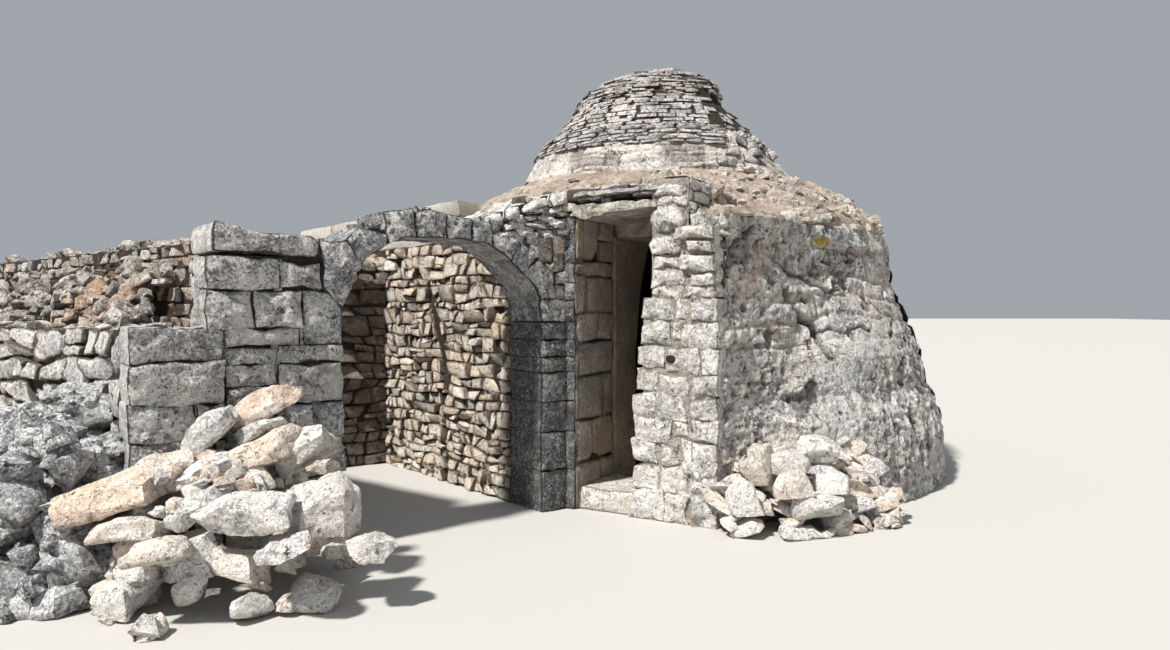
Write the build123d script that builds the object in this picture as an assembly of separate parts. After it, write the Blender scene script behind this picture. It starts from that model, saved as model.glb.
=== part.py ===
# Ruined dry-stone trullo with a roofless annex entered through a stone arch.
# Millimetres, +Z up.  +X runs to the right along the front, +Y away from the front.
# The origin is the middle of the building's footprint box, on the ground.
from build123d import *
import os
from math import cos, sin, radians

# ------------------------------------------------------------------ driving dimensions
ORIGIN = (-1263.0, 7980.0)          # layout point that becomes the origin

# round drum and its corbelled chamber: (radius, height)
DRUM_C = (800.0, 9100.0)
DRUM_OUT = [(2810, 0), (2800, 450), (2730, 730), (2640, 910), (2590, 1200),
            (2460, 1480), (2320, 1780), (2270, 2120), (2210, 2320)]
CHAMBER = [(1550, 0), (1550, 1200), (1450, 1800), (1233, 2320), (1044, 2660),
           (640, 3250), (300, 3650), (205, 3760)]
SHOULDER_Z = 2320.0                 # top of the drum wall
CONE_FOOT_Z = 2660.0
GAP_Z = 3250.0                      # recessed course between the two cone stages
CROWN_Z = 3760.0
TOP_Z = 4130.0

# doorway: front plane turned 30 degrees to face left
DOOR_R = (504.0, 6400.0)            # foot of the right reveal, on the front plane
DOOR_U = (cos(radians(30)), -sin(radians(30)))      # along the front plane, to the right
DOOR_W = (sin(radians(30)), cos(radians(30)))       # into the building
DOOR_WIDTH = 680.0
REVEAL = 620.0                      # first reveal, then a 40 mm step
PIER_W = 520.0
PIER_DEPTH = 950.0
LINTEL_Z = 2330.0
LINTEL_T = 120.0

# arched front of the annex: plane turned 38 degrees
ARCH_Q = (-152.0, 6780.0)           # inner corner between door front and arch front
ARCH_S = (-cos(radians(38)), -sin(radians(38)))     # along the arch front, to the left
ARCH_D = (-sin(radians(38)), cos(radians(38)))      # into the annex
ARCH_T = 430.0
LEG_S = 243.0                       # right side of the arch opening
PIER_S = 1866.0                     # left side of the arch opening
PIER_END = 2650.0
QUOIN_END = 3110.0
SPRING_Z = 1490.0
ROOM_D = 2770.0                     # front of the back wall
BACK_T = 500.0
LINING = 400.0                      # thickness of the wall beside the drum


# ------------------------------------------------------------------ helpers
def sd(s, d):
    return (ARCH_Q[0] + s * ARCH_S[0] + d * ARCH_D[0],
            ARCH_Q[1] + s * ARCH_S[1] + d * ARCH_D[1])


def uw(u, w):
    return (DOOR_R[0] + u * DOOR_U[0] + w * DOOR_W[0],
            DOOR_R[1] + u * DOOR_U[1] + w * DOOR_W[1])


def prism(pts, z0, z1):
    """Upright prism over a plan polygon."""
    face = make_face(Polyline(*[(x, y, z0) for x, y in pts], close=True))
    return extrude(face, amount=z1 - z0, dir=(0, 0, 1))


def ubox(u0, u1, w0, w1, z0, z1):
    return prism([uw(u0, w0), uw(u1, w0), uw(u1, w1), uw(u0, w1)], z0, z1)


def sbox(s0, s1, d0, d1, z0, z1):
    return prism([sd(s0, d0), sd(s1, d0), sd(s1, d1), sd(s0, d1)], z0, z1)


def arch_stone(pts, d0=0.0, d1=ARCH_T):
    """Stone whose front face is a polygon (s, z) in the arch plane."""
    p = [(*sd(s, d0), z) for s, z in pts]
    face = make_face(Polyline(*p, close=True))
    return extrude(face, amount=d1 - d0, dir=(ARCH_D[0], ARCH_D[1], 0))


def ring(profile, a0, a1):
    """Part of a body of revolution about the drum's axis, from angle a0 to a1."""
    c, s = cos(radians(a0)), sin(radians(a0))
    p = [(DRUM_C[0] + r * c, DRUM_C[1] + r * s, z) for r, z in profile]
    face = make_face(Polyline(*p, close=True))
    return revolve(face, axis=Axis((DRUM_C[0], DRUM_C[1], 0), (0, 0, 1)),
                   revolution_arc=a1 - a0)


def mound(base, top, height):
    b = make_face(Polyline(*[(x, y, 0) for x, y in base], close=True))
    t = make_face(Polyline(*[(x, y, height) for x, y in top], close=True))
    return loft([b, t], ruled=True)


def chamber_r(z):
    for (r0, z0), (r1, z1) in zip(CHAMBER, CHAMBER[1:]):
        if z0 <= z <= z1:
            return r0 + (r1 - r0) * (z - z0) / (z1 - z0)
    return CHAMBER[-1][0]


parts = {}

# ------------------------------------------------------------------ doorway
pier_base = ubox(-70, PIER_W, 0, PIER_DEPTH, 0, 1680)
pier_shaft = ubox(0, 488, 0, PIER_DEPTH, 1680, 2160) + ubox(0, 300, 0, REVEAL, 2160, LINTEL_Z)
pier_cap = ubox(100, 270, 10, 420, LINTEL_Z, 2575)
lintel_outer = ubox(-DOOR_WIDTH - 110, 100, -25, REVEAL, LINTEL_Z, LINTEL_Z + LINTEL_T)
lintel_inner = ubox(-DOOR_WIDTH - 110, 140, REVEAL, 1500, 2200, SHOULDER_Z)
ledge = ubox(-DOOR_WIDTH - 90, 60, -60, 420, LINTEL_Z + LINTEL_T, 2560)
threshold = ubox(-DOOR_WIDTH, -70, 30, REVEAL, 0, 180)

leg = sbox(0, LEG_S, 0, ARCH_T, 0, SPRING_Z)
jamb_left = ubox(-DOOR_WIDTH - 350, -DOOR_WIDTH, 0, REVEAL, 0, LINTEL_Z) \
    - sbox(0, 900, -300, ARCH_T, 0, 3000) - sbox(-LINING * 0.4, 900, ARCH_T, 2000, 0, 3000)

chamber = ring([(0, 0)] + CHAMBER + [(0, CROWN_Z)], 0, 360)
lintel_inner = lintel_inner - chamber

# plan area in front of the door plane and on the annex side of the drum
annex_side = prism([uw(PIER_W, 0), sd(0, 0), sd(0, ARCH_T), sd(-160, ARCH_T),
                    sd(-160, 7000), sd(7000, 7000), sd(7000, -4000), uw(PIER_W, -4000)],
                   0, SHOULDER_Z)

# ------------------------------------------------------------------ drum wall
wall_section = [(chamber_r(0), 0), (1550, 1200), (1450, 1800), (1233, SHOULDER_Z)] + DRUM_OUT[::-1]
left_of_door = prism([uw(-DOOR_WIDTH, -1500), uw(-DOOR_WIDTH, REVEAL), uw(-DOOR_WIDTH + 40, REVEAL),
                      uw(-DOOR_WIDTH + 40, 3000), uw(3000, 3000), uw(3000, -1500)], 0, SHOULDER_Z)
right_of_door = prism([uw(0, -1500), uw(0, 3000), uw(-3000, 3000), uw(-3000, -1500)], 0, SHOULDER_Z)

parts["drum_wall_front_left"] = ring(wall_section, -160, -70) - left_of_door - annex_side \
    - jamb_left - lintel_inner
parts["drum_wall_front_right"] = ring(wall_section, -112, -40) - right_of_door - annex_side \
    - pier_base - pier_shaft - lintel_inner
parts["drum_wall_right"] = ring(wall_section, -40, 20)
parts["drum_wall_back_right"] = ring(wall_section, 20, 80)
parts["drum_wall_back_left"] = ring(wall_section, 80, 140) - annex_side
parts["drum_wall_annex_side"] = ring(wall_section, 140, 200) - annex_side

# straight piece of wall between the doorway pier and the round drum
def on_drum(angle, r):
    return (DRUM_C[0] + r * cos(radians(angle)), DRUM_C[1] + r * sin(radians(angle)))


drum_solid = ring([(0, 0)] + DRUM_OUT + [(0, SHOULDER_Z)], 0, 360)
low = [uw(PIER_W, 20), on_drum(-68, 2810), on_drum(-68, 2000), on_drum(-95, 2000)]
high = [uw(PIER_W, 120), on_drum(-47, 2210), on_drum(-50, 1800), on_drum(-95, 1800)]
beside = loft([make_face(Polyline(*[(x, y, 0) for x, y in low], close=True)),
               make_face(Polyline(*[(x, y, SHOULDER_Z) for x, y in high], close=True))], ruled=True)
parts["drum_wall_beside_door"] = beside - drum_solid - pier_base - pier_shaft - lintel_inner

parts["door_pier_base"] = pier_base
parts["door_pier_shaft"] = pier_shaft
parts["door_pier_cap"] = pier_cap
parts["door_jamb_left"] = jamb_left
parts["door_threshold"] = threshold
parts["door_lintel_outer"] = lintel_outer
parts["door_lintel_inner"] = lintel_inner
parts["door_ledge"] = ledge

# ------------------------------------------------------------------ roof
shoulder_section = [(1233, SHOULDER_Z), (2210, SHOULDER_Z), (1950, 2600), (1650, 2750),
                    (1470, 2825), (1470, CONE_FOOT_Z), (1044, CONE_FOOT_Z)]
door_front = ubox(-1400, 488, -400, 420, SHOULDER_Z, 2700) + lintel_outer
for name, a0 in (("front", -145), ("right", -55), ("back", 35), ("left", 125)):
    seg = ring(shoulder_section, a0, a0 + 90)
    if name == "front":
        seg = seg - door_front - pier_shaft - jamb_left
    parts["roof_shoulder_" + name] = seg
parts["wall_over_door"] = (ubox(-DOOR_WIDTH - 90, 100, 420, 800, LINTEL_Z + LINTEL_T, 2640)
                           + ubox(100, 300, 420, 800, LINTEL_Z, 2520)) \
    - ring([(0, SHOULDER_Z)] + shoulder_section[1:4] + [(1470, 2825), (0, 2825)], 0, 360)

cone_low = [(1044, CONE_FOOT_Z), (1470, CONE_FOOT_Z), (1385, 2960), (1270, 3170), (1203, GAP_Z),
            (640, GAP_Z)]
cone_low_worn = [(1044, CONE_FOOT_Z), (1470, CONE_FOOT_Z), (1423, 2825), (1225, 3020), (1100, 3160),
                 (1050, GAP_Z), (640, GAP_Z)]
parts["cone_lower_front"] = ring(cone_low, -185, -62)
parts["cone_lower_broken"] = ring(cone_low_worn, -62, 48)
parts["cone_lower_back"] = ring(cone_low, 48, 175)
cone_up = [(640, GAP_Z), (1115, GAP_Z), (1115, 3290), (1170, 3290), (1070, 3410), (890, 3650),
           (850, CROWN_Z), (205, CROWN_Z), (300, 3650)]
cone_bare = [(640, GAP_Z), (1050, GAP_Z), (900, 3440), (650, 3700), (640, CROWN_Z),
             (205, CROWN_Z), (300, 3650)]
parts["cone_upper_front"] = ring(cone_up, -185, -62)
parts["cone_upper_broken"] = ring(cone_bare, -62, 48)
parts["cone_upper_back"] = ring(cone_up, 48, 175)
parts["cone_crown"] = ring([(0, CROWN_Z), (640, CROWN_Z), (620, 3880), (430, 4020), (215, 4110),
                            (0, TOP_Z)], 0, 360)

# ------------------------------------------------------------------ arch
stones = {
    "arch_springer_left": [(1866, 1600), (1800, 1740), (1720, 1905), (1833, 2050), (1990, 2020),
                           (1990, 1730), (1930, 1660)],
    "arch_voussoir_1": [(1720, 1905), (1610, 1980), (1526, 2040), (1533, 2105), (1728, 2140),
                        (1833, 2050)],
    "arch_voussoir_2": [(1526, 2040), (1400, 2090), (1310, 2097), (1335, 2300), (1548, 2258)],
    "arch_voussoir_3": [(1310, 2097), (1200, 2100), (1077, 2098), (1077, 2276), (1331, 2280)],
    "arch_voussoir_4": [(1077, 2098), (879, 2090), (862, 2247), (1077, 2276)],
    "arch_voussoir_5": [(879, 2090), (710, 2078), (690, 2065), (707, 2227), (862, 2247)],
    "arch_voussoir_6": [(690, 2065), (570, 1990), (530, 1960), (439, 2120), (698, 2150)],
    "arch_voussoir_7": [(530, 1960), (420, 1872), (290, 1972), (439, 2120)],
    "arch_voussoir_8": [(420, 1872), (330, 1790), (250, 1662), (100, 1672), (137, 1884),
                        (290, 1972)],
    "arch_springer_right": [(250, 1662), (243, SPRING_Z), (0, SPRING_Z), (0, 1672), (100, 1672)],
}
for name, pts in stones.items():
    parts[name] = arch_stone(pts)
parts["arch_leg_right"] = leg
parts["spandrel_wall"] = arch_stone(
    [(0, 1672), (100, 1672), (137, 1884), (290, 1972), (439, 2120), (698, 2150), (707, 2227),
     (646, 2307), (556, 2336), (372, 2403), (182, 2481), (0, 2520)], 40, ARCH_T)

# ------------------------------------------------------------------ left pier of the arch
pier_profile = [(PIER_S, 950), (PIER_S, 1600), (1930, 1660), (1990, 1730), (1990, 1925),
                (PIER_END, 1925), (PIER_END, 950)]
parts["left_pier_base"] = sbox(PIER_S, PIER_END, 0, 550, 0, 950)
parts["left_pier_shaft"] = arch_stone(pier_profile, 0, 550)
parts["left_pier_cap"] = sbox(2000, PIER_END + 10, -30, 500, 1925, 2090)
parts["left_quoin_wall"] = sbox(PIER_END, QUOIN_END, 0, 550, 0, 1465)

# ------------------------------------------------------------------ walls of the annex
K_IN = (2850.0 - 1940.0) / 4050.0           # splay of the left wall per unit of depth


def leaf_in(d):
    return 1940.0 + K_IN * (d - 550.0)


parts["left_wall_inner_leaf"] = prism([sd(1940, 550), sd(2600, 550), sd(3450, 4600), sd(2850, 4600)],
                                      0, 2030)
parts["left_wall_outer_leaf"] = prism([sd(2600, 550), sd(QUOIN_END, 550), sd(4000, 4600),
                                       sd(3450, 4600)], 0, 1450)
p0, p1, p2 = sd(2650, 800), sd(3380, 4270), sd(3000, 720)
core_tri = make_face(Polyline((*p0, 1450), (*p2, 1450), (*p0, 1930), close=True))
parts["left_wall_rubble_core"] = extrude(core_tri, amount=((p1[0] - p0[0]) ** 2 + (p1[1] - p0[1]) ** 2) ** 0.5,
                                         dir=(p1[0] - p0[0], p1[1] - p0[1], 0)) \
    - parts["left_wall_inner_leaf"]
parts["annex_right_wall"] = sbox(-160, LEG_S, ARCH_T, ROOM_D + BACK_T, 0, 2200)
parts["annex_back_wall"] = prism([sd(LEG_S, ROOM_D), sd(leaf_in(ROOM_D), ROOM_D),
                                  sd(leaf_in(ROOM_D + BACK_T), ROOM_D + BACK_T),
                                  sd(LEG_S, ROOM_D + BACK_T)], 0, 2060)
parts["rear_wall"] = sbox(-160, LEG_S, ROOM_D + BACK_T, 5350, 0, 2430)
parts["parapet_wall"] = sbox(60, LEG_S, 1320, ROOM_D + BACK_T, 2200, 2430)
parts["parapet_coping"] = sbox(45, LEG_S + 15, 1320, 5350, 2430, 2570)

# ------------------------------------------------------------------ fallen masonry
pier_blocks = sbox(PIER_S, QUOIN_END, 0, 600, 0, 2000)
parts["fallen_rubble_pier"] = mound(
    [(-2640, 4800), (-2560, 4350), (-2100, 4050), (-1480, 4350), (-1200, 4900), (-1450, 5500),
     (-1700, 5700), (-2600, 4990)],
    [(-2500, 4830), (-2400, 4640), (-2150, 4560), (-1900, 4720), (-1800, 4990), (-1840, 5200),
     (-1950, 5300), (-2450, 4930)], 760) - pier_blocks
parts["fallen_boulders_left"] = mound(
    [(-2600, 4900), (-2660, 4400), (-3300, 4230), (-3950, 4650), (-4300, 5500), (-4250, 6200),
     (-4100, 6500), (-2900, 5400)],
    [(-2780, 4900), (-2830, 4640), (-3180, 4520), (-3560, 4800), (-3850, 5400), (-3950, 5900),
     (-3900, 6200), (-2950, 5300)], 900) - pier_blocks - parts["left_wall_outer_leaf"] \
    - parts["fallen_rubble_pier"]
parts["fallen_rubble_drum"] = ring([(2600, 0), (3330, 0), (3140, 230), (2890, 520), (2600, 640)],
                                   -86, -63) - drum_solid - beside - pier_base

# ------------------------------------------------------------------ export
os.makedirs("parts", exist_ok=True)
shift = Location((-ORIGIN[0], -ORIGIN[1], 0))
for name, shape in parts.items():
    export_step(shift * shape, "parts/" + name + ".step")
whole = Compound(children=[p if isinstance(p, Compound) else Compound([p]) for p in parts.values()])
box = whole.bounding_box()
print(len(parts), "nodes", box.min, box.max)
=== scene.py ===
import bpy
import math
import numpy as np
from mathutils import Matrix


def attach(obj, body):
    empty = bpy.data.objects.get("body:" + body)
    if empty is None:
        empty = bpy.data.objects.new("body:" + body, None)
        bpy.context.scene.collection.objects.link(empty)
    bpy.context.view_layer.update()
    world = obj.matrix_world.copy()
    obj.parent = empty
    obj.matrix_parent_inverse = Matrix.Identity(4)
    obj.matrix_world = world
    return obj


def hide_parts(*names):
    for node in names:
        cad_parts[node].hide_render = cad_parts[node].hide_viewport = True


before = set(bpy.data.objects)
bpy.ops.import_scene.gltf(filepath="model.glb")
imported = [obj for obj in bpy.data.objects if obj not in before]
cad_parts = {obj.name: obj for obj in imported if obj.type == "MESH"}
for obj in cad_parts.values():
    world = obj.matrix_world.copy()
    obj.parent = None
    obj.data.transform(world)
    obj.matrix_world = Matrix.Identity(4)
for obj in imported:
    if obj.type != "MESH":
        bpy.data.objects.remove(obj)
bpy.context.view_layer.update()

# ---------------------------------------------------------------- layout, in metres
# The building is laid out round the viewer's standing place; OX, OY move it to the frame.
OX, OY = -1.263, 7.980
EYE = 1.60
FOC = 850.0                      # focal length in pixels of the 1170 x 650 picture
PITCH = math.radians(1.146)
c38, s38 = math.cos(math.radians(38)), math.sin(math.radians(38))
c30, s30 = math.cos(math.radians(30)), math.sin(math.radians(30))
AQ = np.array([-0.152, 6.78, 0.0]); AS = np.array([-c38, -s38, 0.0]); AD = np.array([-s38, c38, 0.0])
DP = np.array([0.504, 6.40, 0.0]); DU = np.array([c30, -s30, 0.0]); DW = np.array([s30, c30, 0.0])
DC = np.array([0.80, 9.10, 0.0])
UP = np.array([0.0, 0.0, 1.0])
DRUM = np.array([(2.81, 0), (2.80, .45), (2.73, .73), (2.64, .91), (2.59, 1.2), (2.46, 1.48),
                 (2.32, 1.78), (2.27, 2.12), (2.21, 2.32)])


def sd(s, d, z=0.0):
    return AQ + s * AS + d * AD + z * UP


def uw(u, w, z=0.0):
    return DP + u * DU + w * DW + z * UP


def ray(x, y):
    cp, sp = math.cos(PITCH), math.sin(PITCH)
    a, b = (x - 585.0) / FOC, -(y - 325.0) / FOC
    return np.array([a, cp + b * sp, -sp + b * cp])


def hit(x, y, origin, normal):
    """Where the line of sight through pixel x, y meets a plane."""
    r = ray(x, y)
    e = np.array([0.0, 0.0, EYE])
    return e + r * (np.dot(origin - e, normal) / np.dot(r, normal))


def on_arch(x, y, d=0.0):
    p = hit(x, y, sd(0, d), AD)
    return float(np.dot(p - AQ, AS)), float(p[2])


def on_door(x, y, w=0.0):
    p = hit(x, y, uw(0, w), DW)
    return float(np.dot(p - DP, DU)), float(p[2])


# ---------------------------------------------------------------- noise
def _hash(ix, iy, iz, seed):
    ix = (ix & 0xFFFFFFFF).astype(np.uint32); iy = (iy & 0xFFFFFFFF).astype(np.uint32)
    iz = (iz & 0xFFFFFFFF).astype(np.uint32)
    k = np.full(1, (seed * 2654435761 + 12345) & 0xFFFFFFFF, dtype=np.uint32)
    h = ix * np.uint32(374761393) + iy * np.uint32(668265263) + iz * np.uint32(2246822519) + k
    h = (h ^ (h >> np.uint32(13))) * np.uint32(1274126177)
    h = (h ^ (h >> np.uint32(15))) * np.uint32(2246822519)
    h = h ^ (h >> np.uint32(16))
    return h.astype(np.float64) / 4294967295.0


def vnoise(P, f, seed):
    """Smooth value noise of points (..., 3), from -1 to 1."""
    q = P * f
    i = np.floor(q).astype(np.int64)
    t = q - i
    t = t * t * (3 - 2 * t)
    out = 0
    for a in (0, 1):
        wa = t[..., 0] if a else 1 - t[..., 0]
        for b in (0, 1):
            wb = t[..., 1] if b else 1 - t[..., 1]
            for c in (0, 1):
                wc = t[..., 2] if c else 1 - t[..., 2]
                out = out + wa * wb * wc * _hash(i[..., 0] + a, i[..., 1] + b, i[..., 2] + c, seed)
    return out * 2 - 1


def fbm(P, f, octaves, seed, gain=0.5):
    out, amp, tot = 0, 1.0, 0.0
    for k in range(octaves):
        out = out + amp * vnoise(P, f * 2.03 ** k, seed + 17 * k)
        tot += amp
        amp *= gain
    return out / tot


def worley(P, f, seed):
    """Distance to the nearest of scattered points, in cells, and to the second."""
    q = P * f
    i = np.floor(q).astype(np.int64)
    d1 = np.full(q.shape[:-1], 9.0)
    d2 = np.full(q.shape[:-1], 9.0)
    for a in (-1, 0, 1):
        for b in (-1, 0, 1):
            for c in (-1, 0, 1):
                jx, jy, jz = i[..., 0] + a, i[..., 1] + b, i[..., 2] + c
                dx = jx + _hash(jx, jy, jz, seed) - q[..., 0]
                dy = jy + _hash(jx, jy, jz, seed + 1) - q[..., 1]
                dz = jz + _hash(jx, jy, jz, seed + 2) - q[..., 2]
                d = np.sqrt(dx * dx + dy * dy + dz * dz)
                d2 = np.minimum(d2, np.maximum(d1, d))
                d1 = np.minimum(d1, d)
    return d1, d2


def karst(P, f, seed):
    """Weathered limestone: sharp ribs between rounded hollows, 0 at the ribs to about -1."""
    W = P + 0.25 / f * np.stack([vnoise(P, f * 0.9, seed + 2), vnoise(P, f * 0.9, seed + 3), vnoise(P, f * 0.9, seed + 4)], -1)
    return -np.abs(vnoise(W, f, seed)) ** 0.8 - 0.5 * np.abs(vnoise(W, f * 2.1, seed + 1)) ** 0.8


def sstep(a, b, x):
    t = np.clip((x - a) / (b - a), 0, 1)
    return t * t * (3 - 2 * t)


# ---------------------------------------------------------------- mesh gathering
def cube_grid(n):
    """Points of a cube's surface, n cells a side with the outer ones narrow, and its quads."""
    if n == 2:
        c = np.array([-1, 0, 1.0])
    else:
        c = np.concatenate([[-1.0], np.linspace(-0.8, 0.8, n - 1), [1.0]])
    ids, pts, quads = {}, [], []

    def vid(i, j, k):
        key = (i, j, k)
        if key not in ids:
            ids[key] = len(pts)
            pts.append((c[i], c[j], c[k]))
        return ids[key]
    for i in range(n):
        for j in range(n):
            quads.append([vid(i, j, 0), vid(i, j + 1, 0), vid(i + 1, j + 1, 0), vid(i + 1, j, 0)])
            quads.append([vid(i, j, n), vid(i + 1, j, n), vid(i + 1, j + 1, n), vid(i, j + 1, n)])
            quads.append([vid(i, 0, j), vid(i + 1, 0, j), vid(i + 1, 0, j + 1), vid(i, 0, j + 1)])
            quads.append([vid(i, n, j), vid(i, n, j + 1), vid(i + 1, n, j + 1), vid(i + 1, n, j)])
            quads.append([vid(0, i, j), vid(0, i, j + 1), vid(0, i + 1, j + 1), vid(0, i + 1, j)])
            quads.append([vid(n, i, j), vid(n, i + 1, j), vid(n, i + 1, j + 1), vid(n, i, j + 1)])
    return np.array(pts), np.array(quads)


def front_grid(n):
    """Like cube_grid, but only the front and the sides, and the sides in two steps."""
    c = np.concatenate([[-1.0], np.linspace(-0.90, 0.90, n - 1), [1.0]])
    ids, pts, quads = {}, [], []

    def vid(i, j, k):
        key = (i, j, k)
        if key not in ids:
            ids[key] = len(pts)
            pts.append((c[i], c[j], (1.0, 0.72, -1.0)[k]))
        return ids[key]
    for i in range(n):
        for j in range(n):
            quads.append([vid(i, j, 0), vid(i + 1, j, 0), vid(i + 1, j + 1, 0), vid(i, j + 1, 0)])
        for k in (0, 1):
            quads.append([vid(i, 0, k + 1), vid(i + 1, 0, k + 1), vid(i + 1, 0, k), vid(i, 0, k)])
            quads.append([vid(i + 1, n, k + 1), vid(i, n, k + 1), vid(i, n, k), vid(i + 1, n, k)])
            quads.append([vid(0, i + 1, k + 1), vid(0, i, k + 1), vid(0, i, k), vid(0, i + 1, k)])
            quads.append([vid(n, i, k + 1), vid(n, i + 1, k + 1), vid(n, i + 1, k), vid(n, i, k)])
    return np.array(pts), np.array(quads)


GRIDS = {n: cube_grid(n) for n in (2, 3, 4, 5, 6, 8, 10, 14, 18)}
GRIDS.update({-n: front_grid(n) for n in (3, 4, 5, 6, 8, 10)})


class Piece:
    """Many separate stones, or a skin, gathered into one mesh."""

    def __init__(self, name):
        self.name, self.v, self.f, self.n = name, [], [], 0
        self.rnd, self.edge, self.hollow_shade = [], [], []

    def add(self, V, F, rnd, edge, hollow_shade=0.0):
        V = V.reshape(-1, 3)
        self.v.append(V)
        self.f.append(F + self.n)
        self.rnd.append(np.broadcast_to(rnd, (len(V),)).astype(np.float32))
        self.edge.append(np.broadcast_to(edge, (len(V),)).astype(np.float32))
        self.hollow_shade.append(np.broadcast_to(hollow_shade, (len(V),)).astype(np.float32))
        self.n += len(V)

    def build(self, material, replaces=(), slot=None, sharp=38):
        V = np.concatenate(self.v) - np.array([OX, OY, 0.0])
        V[:, 2] = np.maximum(V[:, 2], 0.0)
        F = np.concatenate(self.f)
        me = bpy.data.meshes.new(self.name)
        me.from_pydata(V.tolist(), [], [[a for a in q if a >= 0] for q in F.tolist()])
        for key, data in (("rnd", self.rnd), ("edge", self.edge), ("hollow_shade", self.hollow_shade)):
            at = me.attributes.new(key, "FLOAT", "POINT")
            at.data.foreach_set("value", np.concatenate(data))
        me.update()
        me.shade_smooth()
        if sharp:
            me.set_sharp_from_angle(angle=math.radians(sharp))
        ob = bpy.data.objects.new(self.name, me)
        bpy.context.scene.collection.objects.link(ob)
        me.materials.append(material)
        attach(ob, "root")
        if replaces:
            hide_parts(*replaces)
        return ob


# ---------------------------------------------------------------- stones
def blanks(rng, K, n, e=(7.0, 13.0), chips=5, chip=(0.8, 1.1), lump=0.05):
    """K rounded, chipped blocks on the cube -1..1, shape (K, M, 3), and their quads."""
    base, quads = GRIDS[n]
    ex = rng.uniform(e[0], e[1], (K, 1, 1))
    P = np.repeat(base[None], K, 0)
    P = P / (np.sum(np.abs(P) ** ex, -1, keepdims=True) ** (1 / ex))
    for _ in range(chips):
        nrm = rng.normal(0, 1, (K, 1, 3))
        nrm[..., 2] = np.where(rng.random((K, 1)) < 0.75, np.abs(nrm[..., 2]), nrm[..., 2])
        nrm /= np.linalg.norm(nrm, axis=-1, keepdims=True)
        lim = rng.uniform(chip[0], chip[1], (K, 1)) * (0.75 + 0.45 * np.abs(nrm).sum(-1) / 1.732)
        over = np.maximum(0, (P * nrm).sum(-1) - lim)
        P = P - over[..., None] * nrm
    off = rng.uniform(0, 400, (K, 1, 3))
    if lump:
        P = P * (1 + lump * vnoise(P + off, 1.1, 3)[..., None])
    return P, quads, off


def edge_of(P):
    """1 at a stone's rim and sides, 0 in the middle of its front."""
    r = np.maximum(np.abs(P[..., 0]), np.abs(P[..., 1]))
    return np.clip(sstep(0.72, 1.0, r) + sstep(0.4, -0.4, P[..., 2]), 0, 1)


def lay(piece, rng, quads, surf, n=4, out=(0.01, 0.05), depth=0.22, gap=0.0025, rough=0.011,
        e=(7.0, 13.0), chips=5, chip=(0.84, 1.12), tilt=0.10, bulge=0.10, rfun=None, freq=9.0,
        lump=0.03, kar=0.0):
    """Stones fitted to quads (K, 4, 2) of a surface; surf(t, z, o) gives points, o metres out."""
    quads = np.asarray(quads, float)
    if not len(quads):
        return
    K = len(quads)
    P, F, off = blanks(rng, K, n, e, chips, chip, lump)
    a, b, c = P[..., 0], P[..., 1], P[..., 2]
    q = quads
    cen = q.mean(1, keepdims=True)
    size = np.linalg.norm(q[:, 2] - q[:, 0], axis=-1)[:, None]
    q = cen + (q - cen) * np.maximum(0.3, 1 - gap / np.maximum(0.03, np.abs(q - cen)))
    u, v = (a + 1) / 2, (b + 1) / 2
    t = ((1 - u) * (1 - v))[..., None] * q[:, None, 0] + (u * (1 - v))[..., None] * q[:, None, 1] \
        + (u * v)[..., None] * q[:, None, 2] + ((1 - u) * v)[..., None] * q[:, None, 3]
    o0 = rng.uniform(out[0], out[1], (K, 1))
    ta, tb = rng.normal(0, tilt, (K, 1)), rng.normal(0, tilt, (K, 1))
    half = np.minimum(size, 0.5) * 0.5
    o = o0 + (c - 1) / 2 * depth + (ta * a + tb * b) * half * 0.5 * (c > 0) \
        + bulge * half * (1 - a * a) * (1 - b * b) * (c > 0)
    V = surf(t[..., 0], t[..., 1], o)
    w = V + off
    amp = rough * np.minimum(1.5, size / 0.25)[..., None] ** 0.5
    D = np.stack([fbm(w, freq, 3, 5), fbm(w, freq, 3, 6), fbm(w, freq, 3, 7)], -1)
    V = V + D * amp
    hollow_shade = 0.0
    if kar:
        nrm = (surf(t[..., 0], t[..., 1], o + 0.01) - surf(t[..., 0], t[..., 1], o)) / 0.01
        kt = karst(w, 12.0, 31)
        V = V + nrm * (kar * (kt + 0.4) * (c > 0))[..., None]
        # painted shade in the deepest karst hollows
        hollow_shade = (0.55 * sstep(-0.75, -1.2, kt)).reshape(-1)
    r = rng.random(K)
    if rfun is not None:
        r = rfun(cen[:, 0, 0], cen[:, 0, 1], r)
    base = (np.arange(K) * P.shape[1])[:, None, None]
    piece.add(V, (F[None] + base).reshape(-1, 4), np.repeat(r, P.shape[1]), edge_of(P).reshape(-1), hollow_shade)


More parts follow.
